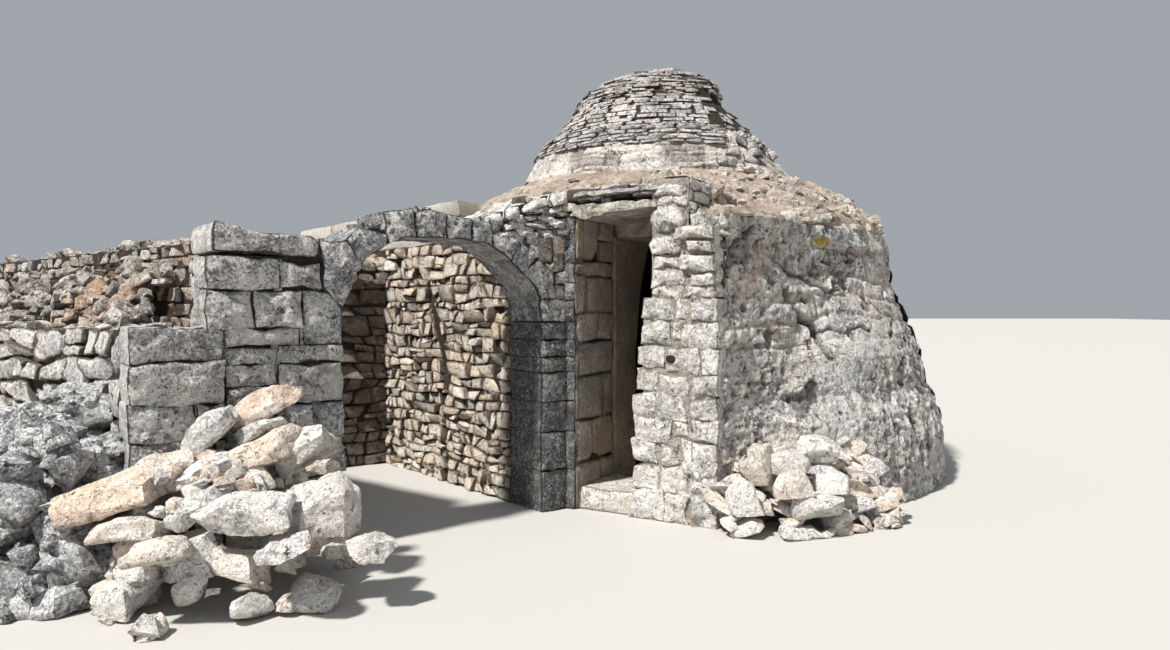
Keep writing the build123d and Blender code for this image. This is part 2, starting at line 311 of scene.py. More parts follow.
def rocks(piece, rng, centres, sizes, n=4, yaw=None, tilt=0.35, e=(7.0, 13.0), chips=12,
          chip=(0.50, 0.86), rough=0.014, rfun=None, freq=8.0, rnd=None, lump=0.07):
    """Loose stones: centres (K, 3), half sizes (K, 3)."""
    K = len(centres)
    if not K:
        return
    P, F, off = blanks(rng, K, n, e, chips, chip, lump)
    V = P * sizes[:, None] * 1.12
    yaw = rng.uniform(0, 2 * np.pi, K) if yaw is None else np.asarray(yaw, float)
    ax, ay = rng.normal(0, tilt, K), rng.normal(0, tilt, K)
    for ang, (i, j) in ((ax, (1, 2)), (ay, (2, 0)), (yaw, (0, 1))):
        co, si = np.cos(ang)[:, None], np.sin(ang)[:, None]
        p, q = V[..., i].copy(), V[..., j].copy()
        V[..., i], V[..., j] = co * p - si * q, si * p + co * q
    V = V + np.asarray(centres)[:, None]
    w = V + off
    amp = rough * np.minimum(1.6, sizes.max(1) / 0.12)[:, None, None] ** 0.6
    D = np.stack([fbm(w, freq, 4, 5, 0.55), fbm(w, freq, 4, 6, 0.55), fbm(w, freq, 4, 7, 0.55)], -1)
    V = V + D * amp
    r = rng.random(K) if rnd is None else np.asarray(rnd, float)
    if rfun is not None:
        r = rfun(np.asarray(centres)[:, 0], np.asarray(centres)[:, 1], r)
    base = (np.arange(K) * P.shape[1])[:, None, None]
    # lower part of each stone as its edge: the materials darken it, partly as dirt, partly as painted shade underneath
    low = sstep(0.2, -0.9, P[..., 2]) * 0.7
    piece.add(V, (F[None] + base).reshape(-1, 4), np.repeat(r, P.shape[1]), low.reshape(-1))


def block(piece, rng, pts, surf, out=0.03, depth=0.3, bevel=0.025, rough=0.014, rnd=None, N=40,
          gap=0.001, bulge=0.012, tilt=(0.0, 0.0), pits=0.0, freq=8.0, chipped=0.5, facet=1.0):
    """One cut stone: a front outline [(t, z)] on a surface, rounded, with worn faces."""
    pts = np.asarray(pts, float)
    nxt = np.roll(pts, -1, 0)
    if np.sum(pts[:, 0] * nxt[:, 1] - nxt[:, 0] * pts[:, 1]) < 0:
        pts = pts[::-1]
        nxt = np.roll(pts, -1, 0)
    seg = np.linalg.norm(nxt - pts, axis=1)
    per = seg.sum()
    cum = np.concatenate([[0], np.cumsum(seg)])
    par = np.sort(np.concatenate([cum[:-1], np.linspace(0, per, max(4, N - len(pts)), endpoint=False)
                                  + per * 0.37 / N]))
    par = par[:N]
    k = np.clip(np.searchsorted(cum, par, side="right") - 1, 0, len(pts) - 1)
    f = (par - cum[k]) / seg[k]
    B = pts[k] + (nxt[k] - pts[k]) * f[:, None]
    cen = pts.mean(0)
    off = rng.uniform(0, 400, 3)
    size = math.sqrt(abs(np.sum(pts[:, 0] * nxt[:, 1] - nxt[:, 0] * pts[:, 1]) / 2))
    jag = vnoise(np.stack([B[:, 0], B[:, 1], np.zeros(len(B))], -1) + off, 14.0, 11)
    # slight rounding of the corners along the outline
    B = B * 0.76 + 0.12 * (np.roll(B, 1, 0) + np.roll(B, -1, 0))
    away = B - cen
    ln = np.linalg.norm(away, axis=1, keepdims=True)
    B = cen + away * (1 - (gap + 0.006 * jag[:, None]) / np.maximum(ln, 0.02))
    bev = bevel * (1 + chipped * vnoise(np.stack([B[:, 0], B[:, 1], np.ones(len(B))], -1) + off, 9.0, 12))
    bev = np.minimum(bev, size * 0.2)
    ln = np.linalg.norm(B - cen, axis=1)
    rows, outs, edge = [], [], []
    for r in (0.0, 0.16, 0.32, 0.47, 0.61, 0.74, 0.86):
        rr = r * np.maximum(0.2, 1 - bev / ln)
        rows.append(cen + (B - cen) * rr[:, None])
        outs.append(out + bulge * (1 - r * r) + 0 * ln)
        edge.append(np.full(len(B), 0.0))
    for a in (0.0, 45.0, 90.0):
        a = math.radians(a)
        rr = 1 - bev / ln * (1 - math.sin(a))
        rows.append(cen + (B - cen) * np.maximum(0.2, rr)[:, None])
        outs.append(out - bev * (1 - math.cos(a)))
        edge.append(np.full(len(B), 0.2 + 0.7 * a / 1.57))
    for k2, dd in enumerate((0.05, 1.0)):
        rows.append(B)
        outs.append(out - bev - (depth - bevel) * dd)
        edge.append(np.full(len(B), (0.3, 0.0)[k2]))
    R = np.array(rows)
    O = np.array(outs)
    # broken facets across the front
    fx, fz = (R[..., 0] - cen[0]) / size, (R[..., 1] - cen[1]) / size
    for _ in range(4):
        ang, lim = rng.uniform(0, 2 * np.pi), rng.uniform(0.12, 0.5)
        over = np.maximum(0, fx * math.cos(ang) + fz * math.sin(ang) - lim)
        O = O - facet * size * rng.uniform(0.03, 0.16) * over
    O = O + tilt[0] * (R[..., 0] - cen[0]) + tilt[1] * (R[..., 1] - cen[1])
    if out > 0.004:
        O[:8] = np.maximum(O[:8], 0.35 * out + 0.010)
        O[8:10] = np.maximum(O[8:10], 0.30 * out + np.array([0.006, 0.002])[:, None])
    V = surf(R[..., 0], R[..., 1], O)
    w = V + off
    D = np.stack([fbm(w, freq, 4, 5, 0.6), fbm(w, freq, 4, 6, 0.6), fbm(w, freq, 4, 7, 0.6)], -1)
    V = V + D * rough
    nrm = (surf(R[..., 0], R[..., 1], O + 0.01) - surf(R[..., 0], R[..., 1], O)) / 0.01
    V = V + nrm * (rough * 0.9 * (karst(w, 11.0, 31) + 0.4))[..., None]
    # painted shade in the karst hollows and, below, in the pits
    hollow_shade_v = 0.45 * sstep(-0.75, -1.2, karst(w, 11.0, 31))
    if pits:
        d1, _ = worley(w, 15.0, 21)
        hole = sstep(0.36, 0.14, d1) * sstep(-0.1, 0.35, vnoise(w, 5.0, 24))
        V = V - nrm * (pits * hole)[..., None]
        hollow_shade_v = np.maximum(hollow_shade_v, 0.7 * hole * min(1.0, pits / 0.010))
    m, N2 = V.shape[0], V.shape[1]
    V[0] = V[0].mean(0)
    idx = np.arange(m * N2).reshape(m, N2)
    q = np.stack([idx[1:-1], np.roll(idx[1:-1], -1, 1), np.roll(idx[2:], -1, 1), idx[2:]], -1).reshape(-1, 4)[:, ::-1]
    fan = np.stack([np.full(N2, 0), idx[1], np.roll(idx[1], -1), np.full(N2, -1)], -1)
    back = V[-1].mean(0)
    V = np.concatenate([V.reshape(-1, 3), back[None]])
    E = np.concatenate([np.array(edge).reshape(-1), [0.0]])
    hollow_shade_v[0] = hollow_shade_v[0].mean()
    CV = np.concatenate([hollow_shade_v.reshape(-1), [0.0]])
    keep = np.ones(len(V), bool)
    keep[1:N2] = False
    new = np.cumsum(keep) - 1
    bf = np.stack([np.full(N2, m * N2), np.roll(idx[-1], -1), idx[-1], np.full(N2, -1)], -1)
    F = np.concatenate([q, fan, bf])
    F = np.where(F >= 0, new[np.maximum(F, 0)], -1)
    r = rng.random() if rnd is None else rnd
    piece.add2(V[keep], F, r, E[keep], CV[keep])


def _add2(self, V, F, rnd, edge, hollow_shade):
    F = np.where(F >= 0, F + self.n, -1)
    self.v.append(V)
    self.f.append(F)
    self.rnd.append(np.full(len(V), rnd, np.float32))
    self.edge.append(edge.astype(np.float32))
    self.hollow_shade.append(hollow_shade.astype(np.float32))
    self.n += len(V)


Piece.add2 = _add2


# ---------------------------------------------------------------- courses
def noise1(t, seed):
    return float(vnoise(np.array([[t, 0.37, 0.71]], float), 1.0, seed)[0])


def courses(rng, L, z0, z1, hr, wr, wav=0.25, keep=None, slant=0.18, t0=0.0, split=0.0, rise=None):
    """Quads of a rubble wall in rough courses from t0 to t0 + L, z0 to z1."""
    zs = [z0]
    while zs[-1] < z1 - 0.5 * hr[0]:
        zs.append(zs[-1] + rng.uniform(*hr))
    zs = np.array(zs)
    zs = z0 + (zs - z0) * (z1 - z0) / (zs[-1] - z0)
    seed = int(rng.integers(1, 9999))

    def bed(i, t):
        if i == 0 or (i == len(zs) - 1 and rise is None):
            return zs[i] + 0 * t
        h = (zs[min(i + 1, len(zs) - 1)] - zs[i - 1]) / 2
        z = zs[i] + wav * h * noise1(t * 1.7 + i * 7.3, seed) + 0.5 * wav * h * noise1(t * 5.1 + i * 3.1, seed + 1)
        return z
    out = []
    for i in range(len(zs) - 1):
        h = zs[i + 1] - zs[i]
        cuts = [t0 - rng.uniform(0, wr[0])]
        while cuts[-1] < t0 + L:
            cuts.append(cuts[-1] + rng.uniform(*wr) * (0.7 + 0.5 * h / np.mean(hr)))
        cuts = np.array(cuts)
        cuts = np.clip(cuts, t0, t0 + L)
        cuts = np.unique(np.round(cuts, 4))
        if len(cuts) > 2 and cuts[1] - cuts[0] < wr[0] * 0.5:
            cuts = np.delete(cuts, 1)
        if len(cuts) > 2 and cuts[-1] - cuts[-2] < wr[0] * 0.5:
            cuts = np.delete(cuts, -2)
        sl = rng.normal(0, slant, len(cuts)) * h
        sl[0] = sl[-1] = 0
        lo, hi = cuts - sl / 2, cuts + sl / 2
        for j in range(len(cuts) - 1):
            q = np.array([[lo[j], bed(i, lo[j])], [lo[j + 1], bed(i, lo[j + 1])],
                          [hi[j + 1], bed(i + 1, hi[j + 1])], [hi[j], bed(i + 1, hi[j])]])
            if keep is not None and not keep(*q.mean(0)):
                continue
            if split and rng.random() < split and h > 0.09:
                f = rng.uniform(0.35, 0.65)
                m0, m1 = q[0] * (1 - f) + q[3] * f, q[1] * (1 - f) + q[2] * f
                out.append([q[0], q[1], m1, m0])
                out.append([m0, m1, q[2], q[3]])
            else:
                out.append(q)
    return np.array(out)


def mixed(rng, quads, ph=0.3, pv=0.25, warp=0.02, f=3.0, seed=5):
    """Splits some stones of a coursed wall and bends all the beds a little."""
    out = []
    for q in quads:
        h, w = q[3, 1] - q[0, 1], q[1, 0] - q[0, 0]
        f0, f1 = rng.uniform(0.3, 0.7), rng.uniform(0.3, 0.7)
        if h > 0.08 and h > 0.45 * w and rng.random() < ph:
            m0, m1 = q[0] * (1 - f0) + q[3] * f0, q[1] * (1 - f1) + q[2] * f1
            out += [[q[0], q[1], m1, m0], [m0, m1, q[2], q[3]]]
        elif w > 0.12 and rng.random() < pv:
            m0, m1 = q[0] * (1 - f0) + q[1] * f0, q[3] * (1 - f1) + q[2] * f1
            out += [[q[0], m0, m1, q[3]], [m0, q[1], q[2], m1]]
        else:
            out.append(list(q))
    out = np.array(out)
    Q = np.stack([out[..., 0], out[..., 1], 0 * out[..., 0]], -1)
    return out + warp * np.stack([vnoise(Q, f, seed) + 0.6 * vnoise(Q, f * 2.7, seed + 1),
                                  vnoise(Q, f, seed + 2) + 0.6 * vnoise(Q, f * 2.7, seed + 3)], -1)


def plane(origin, tdir, ndir):
    origin, tdir, ndir = map(np.asarray, (origin, tdir, ndir))

    def surf(t, z, o):
        return origin + t[..., None] * tdir + z[..., None] * UP + o[..., None] * ndir
    return surf


def unit(v):
    v = np.asarray(v, float)
    return v / np.linalg.norm(v)


# ---------------------------------------------------------------- materials
def clamp01(x):
    return max(0.0, min(1.0, x))


def stone_material(name, tones, dark=(0.10, 0.10, 0.105), lichen=(0.30, 0.315, 0.33), lichen_amt=0.45,
                   speck=0.5, orange=0.25, orange_col=(0.55, 0.30, 0.13), dirt=(0.13, 0.085, 0.05),
                   dirt_amt=0.6, white=(0.80, 0.77, 0.72), white_amt=0.3, bump=0.6, seed=0.0,
                   mortar=None, streak=0.0, gold=0.0, size=1.0, crustcol=(0.20, 0.20, 0.205), holes=0.0, cracks=0.45, joint=0.0, joint_shade_col=(0.045, 0.038, 0.032)):
    m = bpy.data.materials.new(name)
    m.use_nodes = True
    nt = m.node_tree
    N, L = nt.nodes, nt.links
    N.clear()
    out = N.new("ShaderNodeOutputMaterial")
    bsdf = N.new("ShaderNodeBsdfPrincipled")
    L.new(bsdf.outputs[0], out.inputs[0])
    bsdf.inputs["Specular IOR Level"].default_value = 0.25
    tc = N.new("ShaderNodeTexCoord")
    mp = N.new("ShaderNodeMapping")
    mp.inputs["Location"].default_value = (seed, seed * 0.7, seed * 1.3)
    L.new(tc.outputs["Object"], mp.inputs["Vector"])

    def noise(scale, detail=6.0, rough=0.6, dist=0.0, vec=None):
        n = N.new("ShaderNodeTexNoise")
        n.inputs["Scale"].default_value = scale
        n.inputs["Detail"].default_value = detail
        n.inputs["Roughness"].default_value = rough
        n.inputs["Distortion"].default_value = dist
        L.new(vec or mp.outputs[0], n.inputs["Vector"])
        return n.outputs["Fac"]

    def math_(op, a, b=None, clamp=False):
        n = N.new("ShaderNodeMath")
        n.operation = op
        n.use_clamp = clamp
        for i, x in enumerate((a, b)):
            if x is None:
                continue
            if isinstance(x, (int, float)):
                n.inputs[i].default_value = x
            else:
                L.new(x, n.inputs[i])
        return n.outputs[0]

    def band(x, lo, hi, a=0.0, b=1.0):
        n = N.new("ShaderNodeMapRange")
        n.interpolation_type = "SMOOTHSTEP"
        n.inputs["From Min"].default_value = lo
        n.inputs["From Max"].default_value = hi
        n.inputs["To Min"].default_value = a
        n.inputs["To Max"].default_value = b
        L.new(x, n.inputs["Value"])
        return n.outputs["Result"]

    def mix(fac, a, b, mode="MIX"):
        n = N.new("ShaderNodeMix")
        n.data_type = "RGBA"
        n.blend_type = mode
        if isinstance(fac, (int, float)):
            n.inputs[0].default_value = fac
        else:
            L.new(fac, n.inputs[0])
        for i, x in ((6, a), (7, b)):
            if isinstance(x, tuple):
                n.inputs[i].default_value = (*x, 1.0)
            else:
                L.new(x, n.inputs[i])
        return n.outputs[2]

    def attr(key):
        n = N.new("ShaderNodeAttribute")
        n.attribute_name = key
        return n.outputs["Fac"]

    rnd, edge, hollow_shade = attr("rnd"), attr("edge"), attr("hollow_shade")
    big = noise(0.9 / size, 3.0, 0.55)
    mid = noise(5.5 / size, 6.0, 0.62)
    fine = noise(26.0 / size, 5.0, 0.68)
    grit = noise(110.0 / size, 2.0, 0.7)
    crust = noise(52.0 / size, 4.0, 0.66, 0.3)
    # base tone of each stone
    ramp = N.new("ShaderNodeValToRGB")
    ramp.color_ramp.interpolation = "LINEAR"
    el = ramp.color_ramp.elements
    while len(el) < len(tones):
        el.new(0.5)
    for i, t in enumerate(tones):
        el[i].position = i / (len(tones) - 1)
        el[i].color = (*t, 1.0)
    pick = math_("ADD", math_("MULTIPLY", rnd, 0.75), math_("MULTIPLY", math_("SUBTRACT", mid, 0.37), 0.9), clamp=True)
    L.new(pick, ramp.inputs[0])
    col = ramp.outputs[0]
    # orange staining
    om = band(math_("ADD", big, math_("MULTIPLY", noise(3.1 / size, 3.0, 0.6), 0.55)), 0.86 - 0.14 * orange, 1.02 - 0.1 * orange)
    col = mix(math_("MULTIPLY", om, min(1.0, orange * 1.6)), col, orange_col)
    # pale bloom
    wm = band(math_("ADD", noise(7.3 / size, 5.0, 0.66), math_("MULTIPLY", fine, 0.3)), 0.66, 0.86)
    col = mix(math_("MULTIPLY", wm, white_amt), col, white)
    # grey lichen
    lm = band(math_("ADD", math_("ADD", noise(4.2 / size, 6.0, 0.7, 0.4), math_("MULTIPLY", fine, 0.45)),
                    math_("MULTIPLY", rnd, 0.22)), 0.93 - 0.22 * lichen_amt, 1.02 - 0.22 * lichen_amt)
    col = mix(math_("MULTIPLY", lm, clamp01(0.35 + lichen_amt)), col, lichen)
    # black specks and pits
    vor = N.new("ShaderNodeTexVoronoi")
    vor.inputs["Scale"].default_value = 34.0 / size
    vor.inputs["Randomness"].default_value = 1.0
    L.new(mp.outputs[0], vor.inputs["Vector"])
    pit = band(math_("ADD", vor.outputs["Distance"], math_("MULTIPLY", fine, 0.55)), 0.44, 0.30)
    sm = math_("MULTIPLY", pit, band(math_("ADD", mid, math_("MULTIPLY", lm, 0.16)), 0.44, 0.60))
    sm2 = band(math_("ADD", grit, math_("MULTIPLY", fine, 0.5)), 0.86, 0.98)
    dk = math_("MAXIMUM", sm, math_("MULTIPLY", sm2, 0.6))
    patch = band(math_("ADD", noise(2.9 / size, 3.0, 0.65), math_("MULTIPLY", math_("SUBTRACT", rnd, 0.5), 0.12)), 0.40, 0.60)
    mott = math_("MULTIPLY", band(math_("ADD", crust, math_("MULTIPLY", math_("SUBTRACT", mid, 0.5), 0.5)), 0.50, 0.60), band(patch, 0.0, 1.0, 0.12, 1.0))
    col = mix(math_("MULTIPLY", mott, clamp01(speck * 0.62)), col, crustcol)
    fleck = band(math_("ADD", crust, math_("MULTIPLY", math_("SUBTRACT", mid, 0.5), 0.6)), 0.47, 0.37)
    col = mix(math_("MULTIPLY", fleck, clamp01(white_amt * 1.2)), col, white)
    col = mix(math_("MULTIPLY", dk, clamp01(speck)), col, dark)
    if gold:
        gm = band(math_("ADD", noise(6.0 / size, 6.0, 0.65), math_("MULTIPLY", big, 0.6)), 1.0 - 0.1 * gold, 1.08 - 0.1 * gold)
        col = mix(math_("MULTIPLY", gm, 0.8), col, (0.62, 0.42, 0.10))
    if streak:
        sc = N.new("ShaderNodeMapping")
        sc.inputs["Scale"].default_value = (9.0, 9.0, 0.9)
        L.new(tc.outputs["Object"], sc.inputs["Vector"])
        st = band(noise(1.6, 6.0, 0.62, 0.3, sc.outputs[0]), 0.52, 0.70)
        col = mix(math_("MULTIPLY", st, streak), col, (0.17, 0.175, 0.185))
    if holes:
        hl = band(math_("ADD", noise(15.0 / size, 5.0, 0.72, 0.7), math_("MULTIPLY", math_("SUBTRACT", grit, 0.5), 0.10)), 0.600, 0.665)
        hl = math_("MULTIPLY", hl, band(noise(3.7 / size, 2.0, 0.6), 0.52 - 0.12 * holes, 0.66 - 0.12 * holes))
        col = mix(math_("MULTIPLY", hl, 0.88), col, (0.03, 0.028, 0.026))
    if cracks:
        r1 = band(math_("ABSOLUTE", math_("SUBTRACT", noise(4.6 / size, 5.0, 0.64, 0.5), 0.5)), 0.013, 0.004)
        ck = math_("MULTIPLY", r1, band(mid, 0.49, 0.60))
        pk = math_("MULTIPLY", band(noise(37.0 / size, 3.0, 0.6, 0.25), 0.62, 0.68), band(fine, 0.42, 0.56))
        ck = math_("MAXIMUM", ck, pk)
        col = mix(math_("MULTIPLY", ck, clamp01(cracks)), col, (0.06, 0.05, 0.043))
    # brightness variation, and dirt in the joints
    vary = band(math_("ADD", math_("MULTIPLY", mid, 0.5), math_("MULTIPLY", fine, 0.5)), 0.25, 0.78, 0.66, 1.22)
    grey = N.new("ShaderNodeCombineColor")
    for i in range(3):
        L.new(vary, grey.inputs[i])
    col = mix(1.0, col, grey.outputs[0], "MULTIPLY")
    dm = math_("MULTIPLY", band(math_("ADD", edge, math_("MULTIPLY", math_("SUBTRACT", mid, 0.5), 0.8)), 0.30, 1.0), dirt_amt)
    col = mix(dm, col, dirt if mortar is None else mortar)
    # painted shade: marked hollows, pits, cracks and joints turn near black
    col = mix(math_("MULTIPLY", hollow_shade, 0.85), col, (0.035, 0.03, 0.027))
    # painted shade: stone sides and rims, and the lower halves of loose stones, darkened
    if joint:
        side_shade_mask = band(math_("ADD", edge, math_("MULTIPLY", math_("SUBTRACT", fine, 0.5), 0.6)), 0.40, 0.70)
        col = mix(math_("MULTIPLY", side_shade_mask, joint), col, joint_shade_col)
    L.new(col, bsdf.inputs["Base Color"])
    L.new(band(fine, 0.3, 0.7, 0.80, 0.97), bsdf.inputs["Roughness"])
    # relief
    h = math_("ADD", math_("MULTIPLY", fine, 0.55), math_("MULTIPLY", mid, 0.9))
    h = math_("ADD", h, math_("MULTIPLY", grit, 0.16))
    h = math_("SUBTRACT", h, math_("MULTIPLY", dk, 0.55))
    h = math_("SUBTRACT", h, math_("MULTIPLY", mott, 0.22))
    h = math_("ADD", h, math_("MULTIPLY", crust, 0.35))
    h = math_("SUBTRACT", h, math_("MULTIPLY", lm, 0.10))
    h = math_("ADD", h, math_("MULTIPLY", noise(13.0 / size, 3.0, 0.65, 0.4), 0.5))
    if holes:
        h = math_("SUBTRACT", h, math_("MULTIPLY", hl, 1.1))
    if cracks:
        h = math_("SUBTRACT", h, math_("MULTIPLY", ck, 0.8))
    bp = N.new("ShaderNodeBump")
    bp.inputs["Strength"].default_value = bump
    bp.inputs["Distance"].default_value = 0.036 * size
    L.new(h, bp.inputs["Height"])
    L.new(bp.outputs[0], bsdf.inputs["Normal"])
    return m


GREY = stone_material("limestone_grey", [(0.47, 0.45, 0.42), (0.60, 0.58, 0.55), (0.72, 0.69, 0.65), (0.52, 0.51, 0.50)],
                      lichen=(0.37, 0.38, 0.40), lichen_amt=0.46, speck=0.9, orange=0.16, orange_col=(0.64, 0.48, 0.34),
                      white_amt=0.65, white=(0.90, 0.88, 0.85), seed=3.0, dirt=(0.12, 0.095, 0.075), dirt_amt=0.35, bump=1.0,
                      crustcol=(0.20, 0.205, 0.215), holes=0.7, cracks=0.6, joint=0.9)
PALE = stone_material("limestone_pale", [(0.74, 0.66, 0.58), (0.82, 0.77, 0.71), (0.88, 0.855, 0.815), (0.78, 0.74, 0.69)],
                      lichen=(0.58, 0.57, 0.56), lichen_amt=0.28, speck=0.8, orange=0.3, orange_col=(0.70, 0.54, 0.42), white_amt=0.6,
                      white=(0.93, 0.91, 0.88), seed=7.0, dirt=(0.54, 0.43, 0.34), dirt_amt=0.4, bump=1.0, crustcol=(0.33, 0.31, 0.295), holes=0.35,
                      cracks=0.6, joint=0.5, joint_shade_col=(0.15, 0.115, 0.085))
BOULD = stone_material("limestone_boulder", [(0.36, 0.375, 0.40), (0.50, 0.51, 0.525), (0.72, 0.72, 0.715), (0.44, 0.455, 0.48)],
                       lichen=(0.27, 0.285, 0.31), lichen_amt=0.4, speck=0.95, orange=0.1, orange_col=(0.62, 0.50, 0.40),
                       white_amt=0.85, white=(0.93, 0.925, 0.91), seed=4.0, dirt=(0.10, 0.085, 0.075), dirt_amt=0.3, bump=1.0,
                       crustcol=(0.16, 0.17, 0.19), holes=1.0, cracks=0.6, joint=0.55)
JAMBM = stone_material("limestone_beside_door", [(0.50, 0.42, 0.345), (0.68, 0.595, 0.51), (0.82, 0.765, 0.70), (0.46, 0.465, 0.475)],
                       lichen=(0.40, 0.39, 0.385), lichen_amt=0.3, speck=0.85, orange=0.3, orange_col=(0.60, 0.44, 0.33), white_amt=0.5,
                       white=(0.92, 0.89, 0.85), seed=6.0, dirt=(0.20, 0.15, 0.11), dirt_amt=0.5, bump=1.0, crustcol=(0.22, 0.20, 0.185), holes=0.5,
                       cracks=0.6, joint=0.8, joint_shade_col=(0.06, 0.045, 0.035))
# near-white tones: pale wall-top limestone brightened as painted sunlight
TOPM_PAINTED_SUN = stone_material("limestone_wall_top_and_painted_sunlight", [(0.84, 0.79, 0.73), (0.91, 0.885, 0.85), (0.95, 0.935, 0.91), (0.88, 0.86, 0.825)],
                      lichen=(0.56, 0.55, 0.54), lichen_amt=0.25, speck=0.7, orange=0.15, orange_col=(0.70, 0.56, 0.44), white_amt=0.6,
                      white=(0.95, 0.94, 0.92), seed=8.0, dirt=(0.20, 0.15, 0.11), dirt_amt=0.4, bump=1.0, crustcol=(0.34, 0.33, 0.32), holes=0.3,
                      cracks=0.5, joint=0.85, joint_shade_col=(0.06, 0.048, 0.04))
# the two dark tones are painted shade, picked by the arch leg and the strip beside the door
ARCHM = stone_material("limestone_arch_and_painted_shade", [(0.10, 0.107, 0.116), (0.165, 0.17, 0.176), (0.66, 0.645, 0.63), (0.93, 0.90, 0.865), (0.80, 0.785, 0.77)],
                       lichen=(0.27, 0.28, 0.30), lichen_amt=0.52, speck=1.0, orange=0.12, orange_col=(0.54, 0.44, 0.33),
                       white_amt=0.4, white=(0.86, 0.84, 0.81), seed=5.0, dirt=(0.18, 0.15, 0.12), dirt_amt=0.5, bump=1.0,
                       crustcol=(0.13, 0.135, 0.15), holes=0.8, cracks=0.6, joint=0.92)
LINTEL = stone_material("limestone_lintel", [(0.40, 0.33, 0.25), (0.58, 0.52, 0.44), (0.74, 0.69, 0.62)],
                        lichen=(0.42, 0.40, 0.36), lichen_amt=0.3, speck=0.7, orange=0.35, orange_col=(0.42, 0.31, 0.19), white_amt=0.35,
                        seed=9.0, dirt=(0.24, 0.185, 0.12), dirt_amt=0.85, bump=0.9, crustcol=(0.24, 0.20, 0.15), cracks=0.5)
CONE = stone_material("limestone_cone", [(0.42, 0.365, 0.335), (0.57, 0.52, 0.49), (0.73, 0.69, 0.665), (0.48, 0.445, 0.435)],
                      lichen=(0.37, 0.365, 0.365), lichen_amt=0.42, speck=0.9, orange=0.2, orange_col=(0.62, 0.47, 0.38), white_amt=0.5,
                      white=(0.90, 0.87, 0.84), seed=11.0, dirt=(0.09, 0.068, 0.052), dirt_amt=0.75, bump=1.0, crustcol=(0.20, 0.185, 0.175), holes=0.3, joint=0.65)
PINK = stone_material("cone_lower_limestone", [(0.76, 0.665, 0.60), (0.84, 0.77, 0.715), (0.90, 0.85, 0.81), (0.80, 0.74, 0.69)],
                      lichen=(0.62, 0.58, 0.55), lichen_amt=0.25, speck=0.7, orange=0.2, orange_col=(0.76, 0.60, 0.50), white_amt=0.5, white=(0.93, 0.90, 0.87),
                      seed=12.0, dirt=(0.46, 0.37, 0.31), dirt_amt=0.6, bump=1.0, crustcol=(0.40, 0.36, 0.335), holes=0.3, cracks=0.9)
RUBBLE = stone_material("limestone_rubble", [(0.22, 0.215, 0.21), (0.41, 0.375, 0.34), (0.66, 0.61, 0.56), (0.66, 0.43, 0.28)],
                        lichen=(0.38, 0.375, 0.37), lichen_amt=0.34, speck=0.85, orange=0.45, orange_col=(0.66, 0.40, 0.24), white_amt=0.5,
                        white=(0.86, 0.83, 0.78), seed=17.0, dirt=(0.10, 0.07, 0.045), dirt_amt=0.6, bump=1.0, crustcol=(0.20, 0.185, 0.17), holes=0.6, joint=0.7)
LEAF = stone_material("limestone_outer_leaf", [(0.66, 0.63, 0.58), (0.79, 0.755, 0.705), (0.90, 0.875, 0.84), (0.73, 0.66, 0.58)],
                      lichen=(0.44, 0.43, 0.43), lichen_amt=0.42, speck=0.95, orange=0.2, orange_col=(0.58, 0.43, 0.30), white_amt=0.5,
                      white=(0.86, 0.85, 0.82), seed=18.0, dirt=(0.15, 0.11, 0.08), dirt_amt=0.7, bump=1.0, crustcol=(0.19, 0.185, 0.18), holes=0.9, joint=0.6)
ANNEX = stone_material("limestone_annex", [(0.80, 0.64, 0.50), (0.91, 0.78, 0.64), (0.95, 0.88, 0.77), (0.84, 0.71, 0.585)],
                       lichen=(0.46, 0.42, 0.38), lichen_amt=0.28, speck=0.75, orange=0.35, orange_col=(0.60, 0.40, 0.26), white_amt=0.45,
                       white=(0.87, 0.82, 0.74), seed=19.0, dirt=(0.12, 0.08, 0.055), dirt_amt=0.7, bump=1.0, crustcol=(0.36, 0.28, 0.22), holes=0.4, joint=0.32, joint_shade_col=(0.08, 0.055, 0.04))
FRESH = stone_material("limestone_fallen", [(0.80, 0.56, 0.40), (0.84, 0.73, 0.63), (0.91, 0.885, 0.85), (0.74, 0.72, 0.70)],
                       lichen=(0.56, 0.555, 0.55), lichen_amt=0.16, speck=0.4, orange=0.42, orange_col=(0.78, 0.54, 0.40), white_amt=0.7,
                       white=(0.93, 0.915, 0.885), seed=23.0, dirt=(0.34, 0.24, 0.17), dirt_amt=0.4, bump=1.0, crustcol=(0.42, 0.40, 0.38), holes=0.25, cracks=0.3)
SKIN = stone_material("limestone_drum", [(0.66, 0.60, 0.54), (0.77, 0.73, 0.68), (0.85, 0.83, 0.79), (0.72, 0.69, 0.655)],
                      lichen=(0.55, 0.55, 0.555), lichen_amt=0.38, speck=0.85, orange=0.3, orange_col=(0.66, 0.50, 0.40), white_amt=0.55,
                      white=(0.91, 0.90, 0.88), seed=29.0, mortar=(0.64, 0.50, 0.41), dirt_amt=0.7, streak=0.15, bump=1.0,
                      crustcol=(0.22, 0.215, 0.21), holes=0.9, cracks=0.8)
GOLD = stone_material("yellow_lichen", [(0.70, 0.45, 0.08), (0.78, 0.55, 0.12)], lichen_amt=0.2, lichen=(0.6, 0.58, 0.5), speck=0.4, orange=0.0,
                      white_amt=0.3, seed=30.0, dirt_amt=0.0, bump=1.0, crustcol=(0.5, 0.36, 0.1), cracks=0.3)
